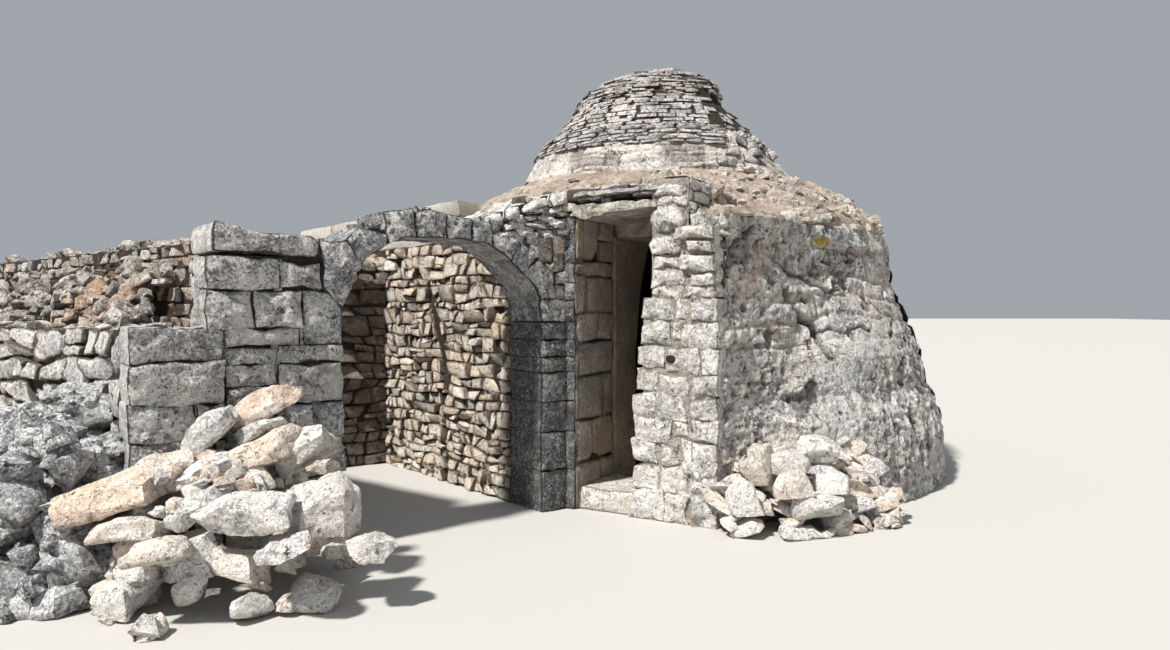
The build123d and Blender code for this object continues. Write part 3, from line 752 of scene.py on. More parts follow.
# very dark tones: painted shade inside the chamber
CHAMBER_SHADE = stone_material("chamber_limestone_painted_shade", [(0.15, 0.115, 0.085), (0.20, 0.16, 0.125), (0.25, 0.205, 0.165)],
                     lichen=(0.12, 0.11, 0.10), lichen_amt=0.3, speck=0.6, orange=0.3, orange_col=(0.16, 0.095, 0.055), white_amt=0.1,
                     seed=44.0, dirt=(0.03, 0.022, 0.016), dirt_amt=0.7, bump=0.9, crustcol=(0.08, 0.06, 0.045), cracks=0.0)
# near-black earth: painted shade of the deep gaps between stones and of the doorway
EARTH = stone_material("joint_earth_and_painted_shade", [(0.026, 0.019, 0.014), (0.042, 0.031, 0.022), (0.066, 0.048, 0.034)],
                       lichen_amt=0.1, lichen=(0.08, 0.065, 0.05), speck=0.4, orange=0.2, orange_col=(0.11, 0.062, 0.03),
                       white_amt=0.05, dirt_amt=0.0, seed=31.0, crustcol=(0.06, 0.045, 0.03), cracks=0.0)
MORTAR = stone_material("mortar", [(0.46, 0.36, 0.27), (0.58, 0.47, 0.37), (0.66, 0.56, 0.46)],
                        lichen_amt=0.15, lichen=(0.42, 0.40, 0.38), speck=0.6, orange=0.4, orange_col=(0.54, 0.35, 0.22),
                        white_amt=0.2, dirt_amt=0.0, seed=37.0, bump=1.0, crustcol=(0.30, 0.22, 0.16))
SMOOTH = stone_material("parapet_plaster", [(0.50, 0.46, 0.41), (0.57, 0.53, 0.48), (0.62, 0.59, 0.54)],
                        lichen_amt=0.2, lichen=(0.52, 0.51, 0.49), speck=0.35, orange=0.15, white_amt=0.3,
                        dirt_amt=0.3, bump=0.3, seed=41.0, crustcol=(0.36, 0.34, 0.31), cracks=0.25)
CAVE = stone_material("limestone_shaded", [(0.40, 0.32, 0.25), (0.50, 0.42, 0.34), (0.58, 0.50, 0.42), (0.44, 0.38, 0.33)],
                      lichen=(0.31, 0.29, 0.28), lichen_amt=0.3, speck=0.6, orange=0.35, orange_col=(0.40, 0.23, 0.13), white_amt=0.15,
                      seed=43.0, dirt=(0.08, 0.055, 0.04), dirt_amt=0.65, bump=0.9, streak=0.25, crustcol=(0.20, 0.15, 0.11))
# darker copy of the annex stone: painted shade on the annex back wall
SHADE = stone_material("limestone_annex_back_painted_shade", [(0.16, 0.12, 0.09), (0.225, 0.18, 0.145), (0.32, 0.27, 0.225), (0.19, 0.155, 0.125)],
                       lichen=(0.20, 0.18, 0.165), lichen_amt=0.3, speck=0.8, orange=0.35, orange_col=(0.28, 0.18, 0.115), white_amt=0.25,
                       white=(0.56, 0.51, 0.44), seed=20.0, dirt=(0.06, 0.042, 0.03), dirt_amt=0.75, bump=1.0, crustcol=(0.18, 0.14, 0.11), holes=0.5)
EARTHY = stone_material("roof_earth_and_stones", [(0.52, 0.43, 0.35), (0.64, 0.56, 0.47), (0.77, 0.71, 0.63), (0.58, 0.53, 0.47)],
                        lichen=(0.44, 0.41, 0.39), lichen_amt=0.3, speck=0.75, orange=0.3, orange_col=(0.54, 0.39, 0.30), white_amt=0.4,
                        seed=47.0, dirt=(0.44, 0.345, 0.27), dirt_amt=0.7, bump=1.0, crustcol=(0.27, 0.215, 0.17), holes=0.3)

# kept CAD nodes: what shows between the stones; most get near-black earth as painted shade of deep gaps
for node, ob in [(n, bpy.data.objects.get(n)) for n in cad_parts]:
    if ob is None:
        continue
    mat = EARTH
    if node.startswith(("drum_", "cone_lower", "roof_")) or node in ("wall_over_door", "fallen_rubble_drum"):
        mat = MORTAR
    if node.startswith("parapet"):
        mat = SMOOTH
    for sl in ob.material_slots:
        sl.material = mat
    if not ob.material_slots:
        ob.data.materials.append(mat)


# ---------------------------------------------------------------- skins
def project(P):
    """Pixel of the 1170 x 650 view in which a layout point lies."""
    cp, sp = math.cos(PITCH), math.sin(PITCH)
    X, Y, Z = P[..., 0], P[..., 1], P[..., 2] - EYE
    dep = np.maximum(0.2, Y * cp - Z * sp)
    return 585.0 + FOC * X / dep, 325.0 - FOC * (Y * sp + Z * cp) / dep


def masonry(T, Z, seed, hr, wr, warp=0.03, joint=0.03, rnd_r=0.03, z0=0.0, z1=2.4, slope=0.12):
    """Stones of an uneven wall: per point a stone's number 0..1, height 0..1 over the joint, local offset."""
    rng = np.random.default_rng(seed)
    zs = [z0 - 0.001]
    while zs[-1] < z1:
        zs.append(zs[-1] + rng.uniform(*hr))
    zs = np.array(zs)
    Q = np.stack([T, Z, 0 * T], -1)
    Zw = Z + warp * vnoise(Q, 1.6, seed) + warp * 0.6 * vnoise(Q, 4.5, seed + 1)
    Tw = T + warp * vnoise(Q, 2.2, seed + 2) + warp * 0.6 * vnoise(Q, 6.0, seed + 3)
    row = np.clip(np.searchsorted(zs, Zw) - 1, 0, len(zs) - 2)
    H = np.zeros(T.shape); R = np.zeros(T.shape); O = np.zeros(T.shape)
    t_lo, t_hi = T.min() - 1, T.max() + 1
    for i in range(len(zs) - 1):
        m = row == i
        cuts = [t_lo]
        while cuts[-1] < t_hi:
            cuts.append(cuts[-1] + rng.uniform(*wr))
        cuts = np.array(cuts)
        num = rng.random(len(cuts) + 1); off = rng.normal(0, 1, len(cuts) + 1)
        sa = rng.normal(0, 1, len(cuts) + 1); sb = rng.normal(0, 1, len(cuts) + 1)
        if not m.any():
            continue
        tw = Tw[m] + slope * (Zw[m] - zs[i]) * (1 if i % 2 else -1)
        k = np.clip(np.searchsorted(cuts, tw), 1, len(cuts) - 1)
        du = np.minimum(tw - cuts[k - 1], cuts[k] - tw)
        dv = np.minimum(Zw[m] - zs[i], zs[i + 1] - Zw[m])
        r = rnd_r
        dist = r - np.hypot(np.maximum(r - du, 0), np.maximum(r - dv, 0))
        dist = np.minimum(dist, np.minimum(du, dv))
        jt = joint * (0.6 + 0.8 * num[k])
        H[m] = sstep(0.0, jt, dist - 0.25 * jt)
        R[m] = num[k]
        mid = (cuts[k] + cuts[k - 1]) / 2
        O[m] = off[k] * 0.5 + sa[k] * (tw - mid) * 4.0 + sb[k] * (Zw[m] - (zs[i] + zs[i + 1]) / 2) * 5.5
    return R, H, O


def cells(T, Z, seed, w, h, jit=(0.32, 0.17), joint=0.018):
    """Uneven rubble: per point a stone's number 0..1, height 0..1 over the joint, local offset."""
    rng = np.random.default_rng(seed)
    a = h / w * 1.15
    Q = np.stack([T, Z, 0 * T], -1)
    X = T * a + 0.12 * h * vnoise(Q, 5.0, seed) + 0.07 * h * vnoise(Q, 15.0, seed + 1)
    Y = Z + 0.12 * h * vnoise(Q, 5.0, seed + 2) + 0.07 * h * vnoise(Q, 15.0, seed + 3)
    ws = w * a
    x0, y0 = X.min() - 3 * ws, Y.min() - 3 * h
    ni, nj = int((Y.max() - y0) / h) + 6, int((X.max() - x0) / ws) + 6
    odd = 0.5 * (np.arange(ni) % 2)
    cx = x0 + (np.arange(nj)[None] + odd[:, None]) * ws + rng.uniform(-jit[0], jit[0], (ni, nj)) * ws
    cy = y0 + np.arange(ni)[:, None] * h + rng.uniform(-jit[1], jit[1], (ni, nj)) * h
    wt = rng.uniform(-0.16, 0.16, (ni, nj)) * h * h
    num, off, sa, sb = rng.random((ni, nj)), rng.normal(0, 1, (ni, nj)), rng.normal(0, 1, (ni, nj)), rng.normal(0, 1, (ni, nj))
    ib = np.floor((Y - y0) / h).astype(int)
    b1, b2 = np.full(T.shape, 1e9), np.full(T.shape, 1e9)
    k1, k2 = np.zeros(T.shape + (2,), int), np.zeros(T.shape + (2,), int)
    for di in (-1, 0, 1, 2):
        ii = np.clip(ib + di, 0, ni - 1)
        jb = np.floor((X - x0) / ws - odd[ii]).astype(int)
        for dj in (-1, 0, 1, 2):
            jj = np.clip(jb + dj, 0, nj - 1)
            d = (X - cx[ii, jj]) ** 2 + (Y - cy[ii, jj]) ** 2 - wt[ii, jj]
            m1 = d < b1
            m2 = ~m1 & (d < b2)
            b2 = np.where(m1, b1, np.where(m2, d, b2))
            k2 = np.where(m1[..., None], k1, np.where(m2[..., None], np.stack([ii, jj], -1), k2))
            k1 = np.where(m1[..., None], np.stack([ii, jj], -1), k1)
            b1 = np.where(m1, d, b1)
    i1, j1, i2, j2 = k1[..., 0], k1[..., 1], k2[..., 0], k2[..., 1]
    gap = np.hypot(cx[i1, j1] - cx[i2, j2], cy[i1, j1] - cy[i2, j2])
    dist = (b2 - b1) / (2 * np.maximum(gap, 1e-4))
    r = num[i1, j1]
    jt = joint * (0.6 + 0.8 * r)
    H = sstep(0.0, jt, dist - 0.2 * jt)
    O = off[i1, j1] * 0.6 + sa[i1, j1] * (X - cx[i1, j1]) / a * 7.0 + sb[i1, j1] * (Y - cy[i1, j1]) * 9.0
    return r, H, O


def grid_faces(n, m):
    idx = np.arange((n + 1) * (m + 1)).reshape(n + 1, m + 1)
    return np.stack([idx[:-1, :-1], idx[:-1, 1:], idx[1:, 1:], idx[1:, :-1]], -1).reshape(-1, 4)


def normals(P):
    a = np.gradient(P, axis=1)
    b = np.gradient(P, axis=0)
    N = np.cross(a, b)
    return N / np.maximum(1e-9, np.linalg.norm(N, axis=-1, keepdims=True))


def field(piece, P, made, flip=False, keep=None):
    """Skin over a grid of points; made is (out, number, edge[, painted hollow shade])."""
    N = normals(P)
    if flip:
        N = -N
    V = P + N * made[0][..., None]
    F = grid_faces(P.shape[0] - 1, P.shape[1] - 1)
    if flip:
        F = F[:, ::-1]
    if keep is not None:
        c = V.reshape(-1, 3)[F].mean(1)
        F = F[keep(c)]
    hollow_shade = np.asarray(made[3]).reshape(-1) if len(made) > 3 else 0.0
    piece.add(V, F, np.asarray(made[1]).reshape(-1), np.asarray(made[2]).reshape(-1), hollow_shade)


def turned(piece, prof, a0, a1, na, nl, relief, l0=0.0, l1=None, flip=False, keep=None, grow=None):
    """Skin of a body of revolution round the drum's axis: relief(T, L, P) gives out, number, edge, painted hollow
    shade.
    """
    prof = np.asarray(prof, float)
    seg = np.linalg.norm(np.diff(prof, axis=0), axis=1)
    cum = np.concatenate([[0], np.cumsum(seg)])
    l1 = cum[-1] if l1 is None else l1
    L = np.linspace(l0, l1, nl + 1)
    A = np.radians(np.linspace(a0, a1, na + 1))
    r, z = np.interp(L, cum, prof[:, 0]), np.interp(L, cum, prof[:, 1])
    A2, r2 = np.meshgrid(A, r)
    z2 = z[:, None] + 0 * A2
    if grow is not None:
        r2 = grow(A2, z2, r2)
    P = np.stack([DC[0] + r2 * np.cos(A2), DC[1] + r2 * np.sin(A2), z2], -1)
    T = A2 * max(0.6, float(r.mean()))
    field(piece, P, relief(T, L[:, None] + 0 * T, P), flip, keep)


def cross2(a, b):
    return a[..., 0] * b[..., 1] - a[..., 1] * b[..., 0]


def beside_door(A, Z, R):
    """Radius of the drum's face where the straight wall beside the doorway stands in front of it."""
    f = np.clip(Z / 2.32, 0, 1)[..., None]
    a = (uw(0.52, 0.02) - DC)[:2] * (1 - f) + (uw(0.52, 0.12) - DC)[:2] * f
    t0 = np.array([2.81 * math.cos(math.radians(-68)), 2.81 * math.sin(math.radians(-68))])
    t1 = np.array([2.21 * math.cos(math.radians(-47)), 2.21 * math.sin(math.radians(-47))])
    D = t0 * (1 - f) + t1 * f - a
    e = np.stack([np.cos(A), np.sin(A)], -1)
    den = cross2(e, D)
    den = np.where(np.abs(den) < 1e-6, 1e-6, den)
    Rl = cross2(a, D) / den
    k = cross2(a, e) / den
    ra = np.linalg.norm(a, axis=-1)
    Rl = np.where(k < 0, ra - 0.05, np.where(k > 1, 0, Rl))
    return np.where((Z < 2.45) & (np.sin(A) < -0.55), np.maximum(R, Rl), R)


def flat(piece, surf, t0, t1, z0, z1, nt, nz, relief, keep=None):
    ts = np.linspace(t0, t1, nt + 1) if np.isscalar(nt) else np.asarray(nt)
    nt = len(ts) - 1
    T, Z = np.meshgrid(ts, np.linspace(z0, z1, nz + 1))
    P = surf(T, Z, 0 * T)
    made = relief(T, Z, P)
    out, num, edge = made[:3]
    hollow_shade = made[3] if len(made) > 3 else 0 * T
    V = surf(T, Z, out)
    F = grid_faces(nz, nt)
    if keep is not None:
        c = np.stack([T, Z], -1).reshape(-1, 2)[F].mean(1)
        F = F[keep(c[:, 0], c[:, 1])]
    piece.add(V, F, np.asarray(num).reshape(-1), np.asarray(edge).reshape(-1), hollow_shade.reshape(-1))


def rubble_relief(seed, hr, wr, warp=0.035, joint=0.018, depth=0.034, rag=0.012, amp=0.011, slope=0.35, pit=0.35, low=0.0, special=None, cell=None):
    """Dry rubble: tight irregular stones with deep joints."""
    def f(T, Z, P):
        num, H, O = masonry(T, Z, seed, hr, wr, warp=warp, joint=joint, rnd_r=0.016, slope=slope, z0=float(Z.min()) - 0.2, z1=float(Z.max()) + 0.2)
        if cell is not None:
            num, H, O = cells(T, Z, seed, cell[0], cell[1], joint=joint)
        n = fbm(P, 7.0, 4, seed + 1, 0.62) * amp + fbm(P, 24.0, 3, seed + 2) * amp * 0.6
        kt = karst(P, 13.0, seed + 3)
        cut = np.maximum(0, vnoise(P, 10.0, seed + 4)) * 0.020
        out = 0.003 + H * (depth + rag * O - cut + 0.010 * kt) + n * (0.35 + 0.65 * H) + low * vnoise(P, 1.2, seed + 5)
        # painted shade in the joints and the deepest karst hollows
        hollow_shade = np.clip(0.9 * sstep(0.45, 0.05, H) + pit * sstep(-0.7, -1.15, kt), 0, 1)
        edge = np.clip(1 - H, 0, 1)
        if special is not None:
            out, hollow_shade = special(T, Z, P, out, hollow_shade)
        return np.clip(out, 0.003 + 0.003 * vnoise(P, 30.0, seed + 6), 0.085), num, edge, hollow_shade
    return f


def blob(x, y, cx, cy, rx, ry, soft=0.5):
    d = np.hypot((x - cx) / rx, (y - cy) / ry)
    return sstep(1 + soft, 1 - soft, d)


def seg_dist(x, y, pts):
    d = np.full(np.shape(x), 1e9)
    for (x0, y0), (x1, y1) in zip(pts, pts[1:]):
        dx, dy = x1 - x0, y1 - y0
        t = np.clip(((x - x0) * dx + (y - y0) * dy) / (dx * dx + dy * dy), 0, 1)
        d = np.minimum(d, np.hypot(x - x0 - t * dx, y - y0 - t * dy))
    return d


FRONT = plane(sd(0, 0), AS, -AD)                 # front of arch and pier: t = s
DOOR = plane(uw(0, 0), DU, -DW)                  # front of the doorway: t = u


# ================================================================ left pier (A to D)
rng = np.random.default_rng(101)
pier = Piece("pier_stones")
PIER = [(2.705, 1.905, 2.277, 1.716), (2.262, 1.888, 2.005, 1.733), (2.708, 1.705, 2.438, 1.470),
        (2.425, 1.706, 2.134, 1.476), (2.611, 1.462, 2.134, 1.366), (2.600, 1.360, 2.296, 1.262),
        (2.284, 1.360, 1.905, 1.250), (2.600, 1.254, 2.296, 1.118), (2.290, 1.240, 1.905, 0.998),
        (3.075, 1.474, 2.615, 1.283), (3.112, 1.275, 2.606, 1.030), (3.105, 1.022, 2.770, 0.815),
        (2.600, 1.108, 2.300, 0.850), (2.760, 1.022, 2.606, 0.815)]
for s0, z0, s1, z1 in PIER:
    s0 = 3.128 if s0 > 3.05 else s0 + 0.004
    s1 = 1.855 if s1 < 1.93 else s1 - 0.004
    z0, z1 = z0 + 0.005, z1 - 0.005
    j = rng.normal(0, 0.006, (4, 2))
    pts = np.array([(s0, z0), ((s0 + s1) / 2, z0), (s1, z0), (s1, (z0 + z1) / 2), (s1, z1),
                    ((s0 + s1) / 2, z1), (s0, z1), (s0, (z0 + z1) / 2)])
    pts = pts + rng.normal(0, 0.007, pts.shape)
    block(pier, rng, pts, FRONT, out=rng.uniform(0.026, 0.052), depth=0.28, bevel=0.020, rough=0.020,
          N=56, gap=0.001, bulge=0.010, tilt=rng.normal(0, 0.05, 2), pits=0.012, rnd=rng.random())
block(pier, rng, [(2.128, 1.728), (1.915, 1.700), (1.858, 1.600), (1.855, 1.363), (2.122, 1.363)], FRONT,
      out=0.03, depth=0.3, bevel=0.025, N=48, pits=0.008)
block(pier, rng, [(2.012, 2.05), (1.872, 2.01), (1.90, 1.94), (1.995, 1.905)], FRONT, out=0.02, depth=0.3, bevel=0.03)
for z0, z1, cuts in ((0.0, 0.27, (1.855, 2.22, 2.62, 3.128)), (0.27, 0.50, (1.855, 2.10, 2.46, 2.80, 3.128)),
                     (0.50, 0.81, (1.855, 2.30, 2.66, 3.128)), (0.76, 0.99, (1.855, 2.06, 2.29))):
    for a, b in zip(cuts, cuts[1:]):
        pts = np.array([(a, z0), (b, z0), (b, z1), (a, z1)]) + rng.normal(0, 0.01, (4, 2))
        block(pier, rng, pts, FRONT, out=rng.uniform(0.024, 0.048), depth=0.3, bevel=0.022, rough=0.020,
              N=48, gap=0.001, tilt=rng.normal(0, 0.05, 2), pits=0.012)
pts = np.array([(2.30, 0.76), (2.60, 0.76), (2.60, 0.84), (2.30, 0.84)])
block(pier, rng, pts, FRONT, out=0.02, depth=0.25, bevel=0.02)
for pts in ([(2.625, 1.255), (2.58, 1.255), (2.58, 1.475), (2.625, 1.475)], [(2.32, 0.98), (2.27, 0.98), (2.27, 1.37), (2.32, 1.37)],
            [(2.14, 1.36), (2.10, 1.36), (2.10, 1.48), (2.14, 1.48)], [(2.63, 0.81), (2.28, 0.81), (2.28, 0.87), (2.63, 0.87)], [(2.30, 1.70), (2.25, 1.70), (2.25, 1.91), (2.30, 1.91)]):
    block(pier, rng, pts, FRONT, out=0.012, depth=0.2, bevel=0.006, rough=0.010, N=36, gap=0.0, bulge=0.0, rnd=0.1)
# capping slab, its left end raised
block(pier, rng, [(2.66, 1.945), (2.672, 2.06), (2.655, 2.125), (2.56, 2.112), (2.44, 2.085), (2.30, 2.07),
                  (2.15, 2.075), (2.05, 2.062), (2.003, 2.03), (1.995, 1.97), (2.02, 1.925), (2.2, 1.93),
                  (2.4, 1.94)], FRONT, out=0.045, depth=0.50, bevel=0.045, rough=0.018, N=72, pits=0.016, rnd=0.6)
# reveal inside the opening, quoin's outer side and the back of the pier
REVEAL_L = plane(sd(1.866, 0), AD, -AS)
lay(pier, rng, courses(rng, 0.26, 0, 1.60, (0.17, 0.28), (0.2, 0.3), t0=0.28), REVEAL_L, n=4, out=(0.008, 0.03), depth=0.2, rough=0.012)
QUOIN = plane(sd(3.11, 0), AD, AS)
lay(pier, rng, courses(rng, 0.27, 0, 1.46, (0.18, 0.27), (0.22, 0.34), t0=0.27), QUOIN, n=5, out=(0.01, 0.035), depth=0.2, rough=0.014)
SHAFT_L = plane(sd(2.65, 0), AD, AS)
lay(pier, rng, courses(rng, 0.52, 1.46, 1.92, (0.12, 0.2), (0.18, 0.3), t0=0.01), SHAFT_L, n=5, out=(0.01, 0.035), depth=0.2, rough=0.014)
QTOP = lambda t, z, o: np.asarray(sd(0, 0)) + t[..., None] * AS + z[..., None] * AD + (1.462 + o)[..., None] * UP
lay(pier, rng, courses(rng, 0.43, 0.02, 0.56, (0.15, 0.25), (0.2, 0.3), t0=2.67), QTOP, n=5, out=(0.0, 0.03), depth=0.15, rough=0.014)
pier.build(GREY, ["left_pier_cap"], "pier_blocks")

# ================================================================ arch (K, L)
rng = np.random.default_rng(211)
arch = Piece("arch_stones")
ARCH = [
    ([(1.866, 1.600), (1.800, 1.740), (1.724, 1.905), (1.780, 1.985), (1.833, 2.050), (1.910, 2.035), (1.990, 2.020),
      (1.990, 1.730), (1.930, 1.660)], 0.25, 0.050),
    ([(1.724, 1.905), (1.665, 1.955), (1.610, 1.985), (1.526, 2.040), (1.533, 2.105), (1.63, 2.13), (1.728, 2.140), (1.833, 2.050)], 0.8, 0.020),
    ([(1.526, 2.040), (1.465, 2.068), (1.400, 2.090), (1.312, 2.097), (1.322, 2.20), (1.335, 2.300), (1.44, 2.275), (1.548, 2.258)], 0.45, 0.030),
    ([(1.310, 2.097), (1.200, 2.102), (1.077, 2.100), (1.077, 2.276), (1.20, 2.292), (1.331, 2.280)], 0.6, 0.035),
    ([(1.077, 2.098), (0.975, 2.096), (0.879, 2.090), (0.868, 2.17), (0.862, 2.247), (0.97, 2.270), (1.077, 2.276)], 0.35, 0.025),
    ([(0.879, 2.090), (0.79, 2.085), (0.710, 2.078), (0.690, 2.065), (0.70, 2.15), (0.707, 2.227), (0.78, 2.245), (0.862, 2.247)], 0.5, 0.030),
    ([(0.690, 2.065), (0.630, 2.03), (0.570, 1.990), (0.530, 1.960), (0.485, 2.04), (0.439, 2.120), (0.56, 2.14), (0.698, 2.150)], 0.2, 0.030),
    ([(0.530, 1.960), (0.475, 1.915), (0.420, 1.872), (0.355, 1.92), (0.290, 1.972), (0.36, 2.05), (0.439, 2.120)], 0.4, 0.022),
    ([(0.420, 1.872), (0.375, 1.835), (0.330, 1.790), (0.290, 1.73), (0.250, 1.662), (0.175, 1.668), (0.100, 1.672), (0.115, 1.78), (0.137, 1.884),
      (0.21, 1.93), (0.290, 1.972)], 0.15, 0.030),
    ([(0.250, 1.662), (0.247, 1.57), (0.243, 1.492), (0.12, 1.492), (0.003, 1.492), (0.003, 1.58), (0.003, 1.672), (0.100, 1.672)], 0.3, 0.015),
]
for pts, num, o in ARCH:
    block(arch, rng, pts, FRONT, out=o, depth=0.43 + o, bevel=0.022, rough=0.016, N=60, gap=0.0, bulge=0.014,
          rnd=min(1.0, num * 0.7 + 0.36), pits=0.012, tilt=rng.normal(0, 0.06, 2))
# a second, shorter ring of small stones above the crown
for a, b, z0, z1 in ((1.30, 1.19, 2.275, 2.318), (1.70, 1.56, 2.13, 2.175), (0.70, 0.60, 2.15, 2.26)):
    block(arch, rng, [(a, z0), (b, z0), (b, z1), (a, z1)], FRONT, out=0.0, depth=0.3, bevel=0.03)
legz = [0.0, 0.32, 0.62, 0.86, 1.095, 1.215, 1.35, 1.488]
# leg stones pick the darkest tones of the arch stone: painted shade
for i, (z0, z1) in enumerate(zip(legz, legz[1:])):
    a0 = 0.010 * rng.random()
    block(arch, rng, [(0.002, z0), (0.12, z0), (0.243 + a0, z0), (0.245 + a0, (z0 + z1) / 2), (0.243 + a0, z1), (0.12, z1), (0.002, z1)],
          FRONT, out=rng.uniform(0.008, 0.022), depth=0.44, bevel=0.016, rough=0.012, N=52, gap=0.002, rnd=0.14 * rng.random(), pits=0.01, facet=0.4)
# strip beside the door, same dark tones: painted shade
for i, (z0, z1) in enumerate(zip(legz, legz[1:])):
    block(arch, rng, [(-0.775, z0), (-0.72, z0), (-0.672, z0), (-0.672, z1), (-0.72, z1), (-0.775, z1)], DOOR, out=rng.uniform(0.006, 0.014), depth=0.12,
          bevel=0.012, rough=0.010, N=36, gap=0.0, rnd=0.15 * rng.random(), pits=0.008, facet=0.2)
n_strip = len(legz) - 1
# upper strip stones, also dark: painted shade
for z0, z1, num in ((1.488, 1.66, .3), (1.66, 1.80, .7), (1.80, 1.95, .45), (1.95, 2.09, .15), (2.09, 2.19, .6), (2.19, 2.30, .4)):
    block(arch, rng, [(-0.775, z0), (-0.72, z0), (-0.672, z0), (-0.672, z1), (-0.72, z1), (-0.775, z1)], DOOR, out=rng.uniform(0.006, 0.016), depth=0.12,
          bevel=0.014, rough=0.012, N=36, gap=0.0, rnd=0.4 * num, pits=0.008, facet=0.3)
# painted shade: the strip beside the door darkened further
for q in range(1, n_strip + 7):
    arch.hollow_shade[-q] = np.minimum(1.0, arch.hollow_shade[-q] + 0.38).astype(np.float32)
arch.build(ARCHM, ["arch_springer_left", "arch_springer_right", "arch_leg_right"] + ["arch_voussoir_%d" % i for i in range(1, 9)], "arch_blocks")

# ================================================================ spandrel, left jamb (M, N)
rng = np.random.default_rng(307)
jamb = Piece("jamb_and_spandrel_stones")
SPAN = plane(sd(0, 0.04), AS, -AD)


def above_arch(t, z):
    lower = np.interp(t, [0, .1, .137, .29, .439, .698, .75], [1.672, 1.672, 1.884, 1.972, 2.12, 2.15, 2.3])
    upper = np.interp(t, [-.1, 0, .182, .372, .556, .646, .707], [2.56, 2.53, 2.48, 2.40, 2.33, 2.30, 2.227])
    return lower + 0.02 < z < upper


lay(jamb, rng, courses(rng, 0.72, 1.67, 2.54, (0.07, 0.11), (0.10, 0.20), t0=0.0, keep=above_arch), SPAN, n=4,
    out=(-0.01, 0.022), depth=0.2, rough=0.012, tilt=0.2)
# stones of the spandrel, measured in the arch's plane
SP = [(553, 237, 568, 254, .1), (540, 248, 553, 262, .5), (554, 254, 567, 271, .05), (555, 272, 567, 284, .5), (556, 285, 567, 304, .6),
      (546, 263, 554, 272, .4), (538, 233, 552, 247, .85), (526, 233, 538, 244, .9), (528, 245, 540, 257, .75), (548, 220, 568, 229, .85),
      (553, 229, 568, 237, .7), (512, 231, 525, 243, .85), (558, 304, 567, 320, .45), (548, 274, 555, 290, .3)]
for x0, y0, x1, y1, num in SP:
    s0, z0 = on_arch(x0, y1)
    s1, z1 = on_arch(x1, y0)
    s1 = max(s1, 0.004)
    pts = np.array([(s0, z0), ((s0 + s1) / 2, z0), (s1, z0), (s1, z1), ((s0 + s1) / 2, z1), (s0, z1)]) + rng.normal(0, 0.006, (6, 2))
    block(jamb, rng, pts, FRONT, out=rng.uniform(-0.010, 0.018), depth=0.22, bevel=0.012, rough=0.013, N=40, rnd=num, gap=-0.001, pits=0.006)
# angular stones on top of the wall, their outlines in pixels, number, how far back, how far out
TOPS = [([(478, 216.7), (486.7, 212.6), (500, 213), (502, 220), (495.6, 227.8), (489, 230.7), (481, 224)], .45, .05, .03),
        ([(501, 218), (502, 209), (509, 205), (518, 206), (519.4, 213.3), (513.5, 219.8), (504.4, 221.2)], .55, .05, .05),
        ([(518, 213.6), (518.9, 205), (524.4, 198.5), (533.3, 195), (543.3, 197.6), (543.4, 205.6), (535.6, 209), (524.4, 213.6)], .68, .08, .07),
        ([(543.3, 201.1), (545.6, 195), (557.8, 192), (572.4, 190.4), (574, 196.7), (570, 202.4), (557.8, 206.7), (545.4, 208)], .72, .08, .06),
        ([(528.2, 211.4), (533.3, 207.8), (542.2, 208.4), (543.6, 212.4), (535.6, 214.6), (529, 214)], .35, .05, .05),
        ([(544, 210.4), (551, 207), (561, 206), (562.4, 210.2), (555.6, 214), (545.4, 214.6)], .85, .05, .05),
        ([(535.4, 217), (542.2, 214.4), (551.3, 216.7), (551.3, 221.3), (543.3, 223), (536.5, 220.6)], .5, .05, .04),
        ([(545.4, 224.6), (552.2, 217.8), (564.6, 217.6), (568.4, 223.5), (562.2, 228), (551, 229.5)], .8, .02, .04),
        ([(508.9, 218), (513.3, 213.6), (522.4, 214.2), (523.5, 219.8), (515.6, 223), (509, 222)], .3, .05, .04),
        ([(522, 217), (527.8, 213.6), (535.8, 215.4), (535.3, 220.2), (526.7, 222)], .6, .05, .035),
        ([(551, 214), (557.8, 211), (567, 212), (567.3, 217), (557.8, 218.2)], .4, .05, .045),
        ([(502, 224.6), (508.9, 222.6), (513, 225.6), (511, 230.2), (504.2, 231)], .2, .03, .03),
        ([(567.6, 208), (573.3, 203.3), (578, 206.7), (575.6, 213.3), (568.9, 213.6)], .55, .05, .05),
        ([(491, 236), (495, 231.6), (504, 231.4), (514, 230.6), (514, 236), (505, 239), (496, 239)], .1, .03, .02),
        ([(514, 230), (524, 226), (533, 228), (534, 234), (524, 238), (515, 237)], .25, .03, .02),
        ([(523, 223.5), (533, 221.5), (544, 224), (546, 229), (535, 228), (524, 226)], .05, .03, .025),
        ([(536, 230), (547, 229.5), (553, 231), (553, 238), (540, 239), (535, 236)], .15, .02, .02),
        ([(554.4, 229.4), (564.4, 227), (568.5, 227), (568.5, 234.4), (564.4, 236.7), (555.6, 234.4)], .75, .0, .02)]
topst = Piece("wall_top_stones")
for px, num, dd, o in TOPS:
    pts = [on_arch(x, y, dd) for x, y in px]
    block(topst, rng, pts, plane(sd(0, dd), AS, -AD), out=o, depth=0.30, bevel=0.018, rough=0.014, N=36, rnd=num, gap=0.003, bulge=0.022,
          tilt=(rng.normal(0, 0.12), rng.normal(-0.50, 0.12)), pits=0.005, facet=1.3)
# near-white stone: painted sunlight on the wall top
topst.build(TOPM_PAINTED_SUN, (), "arch_blocks")
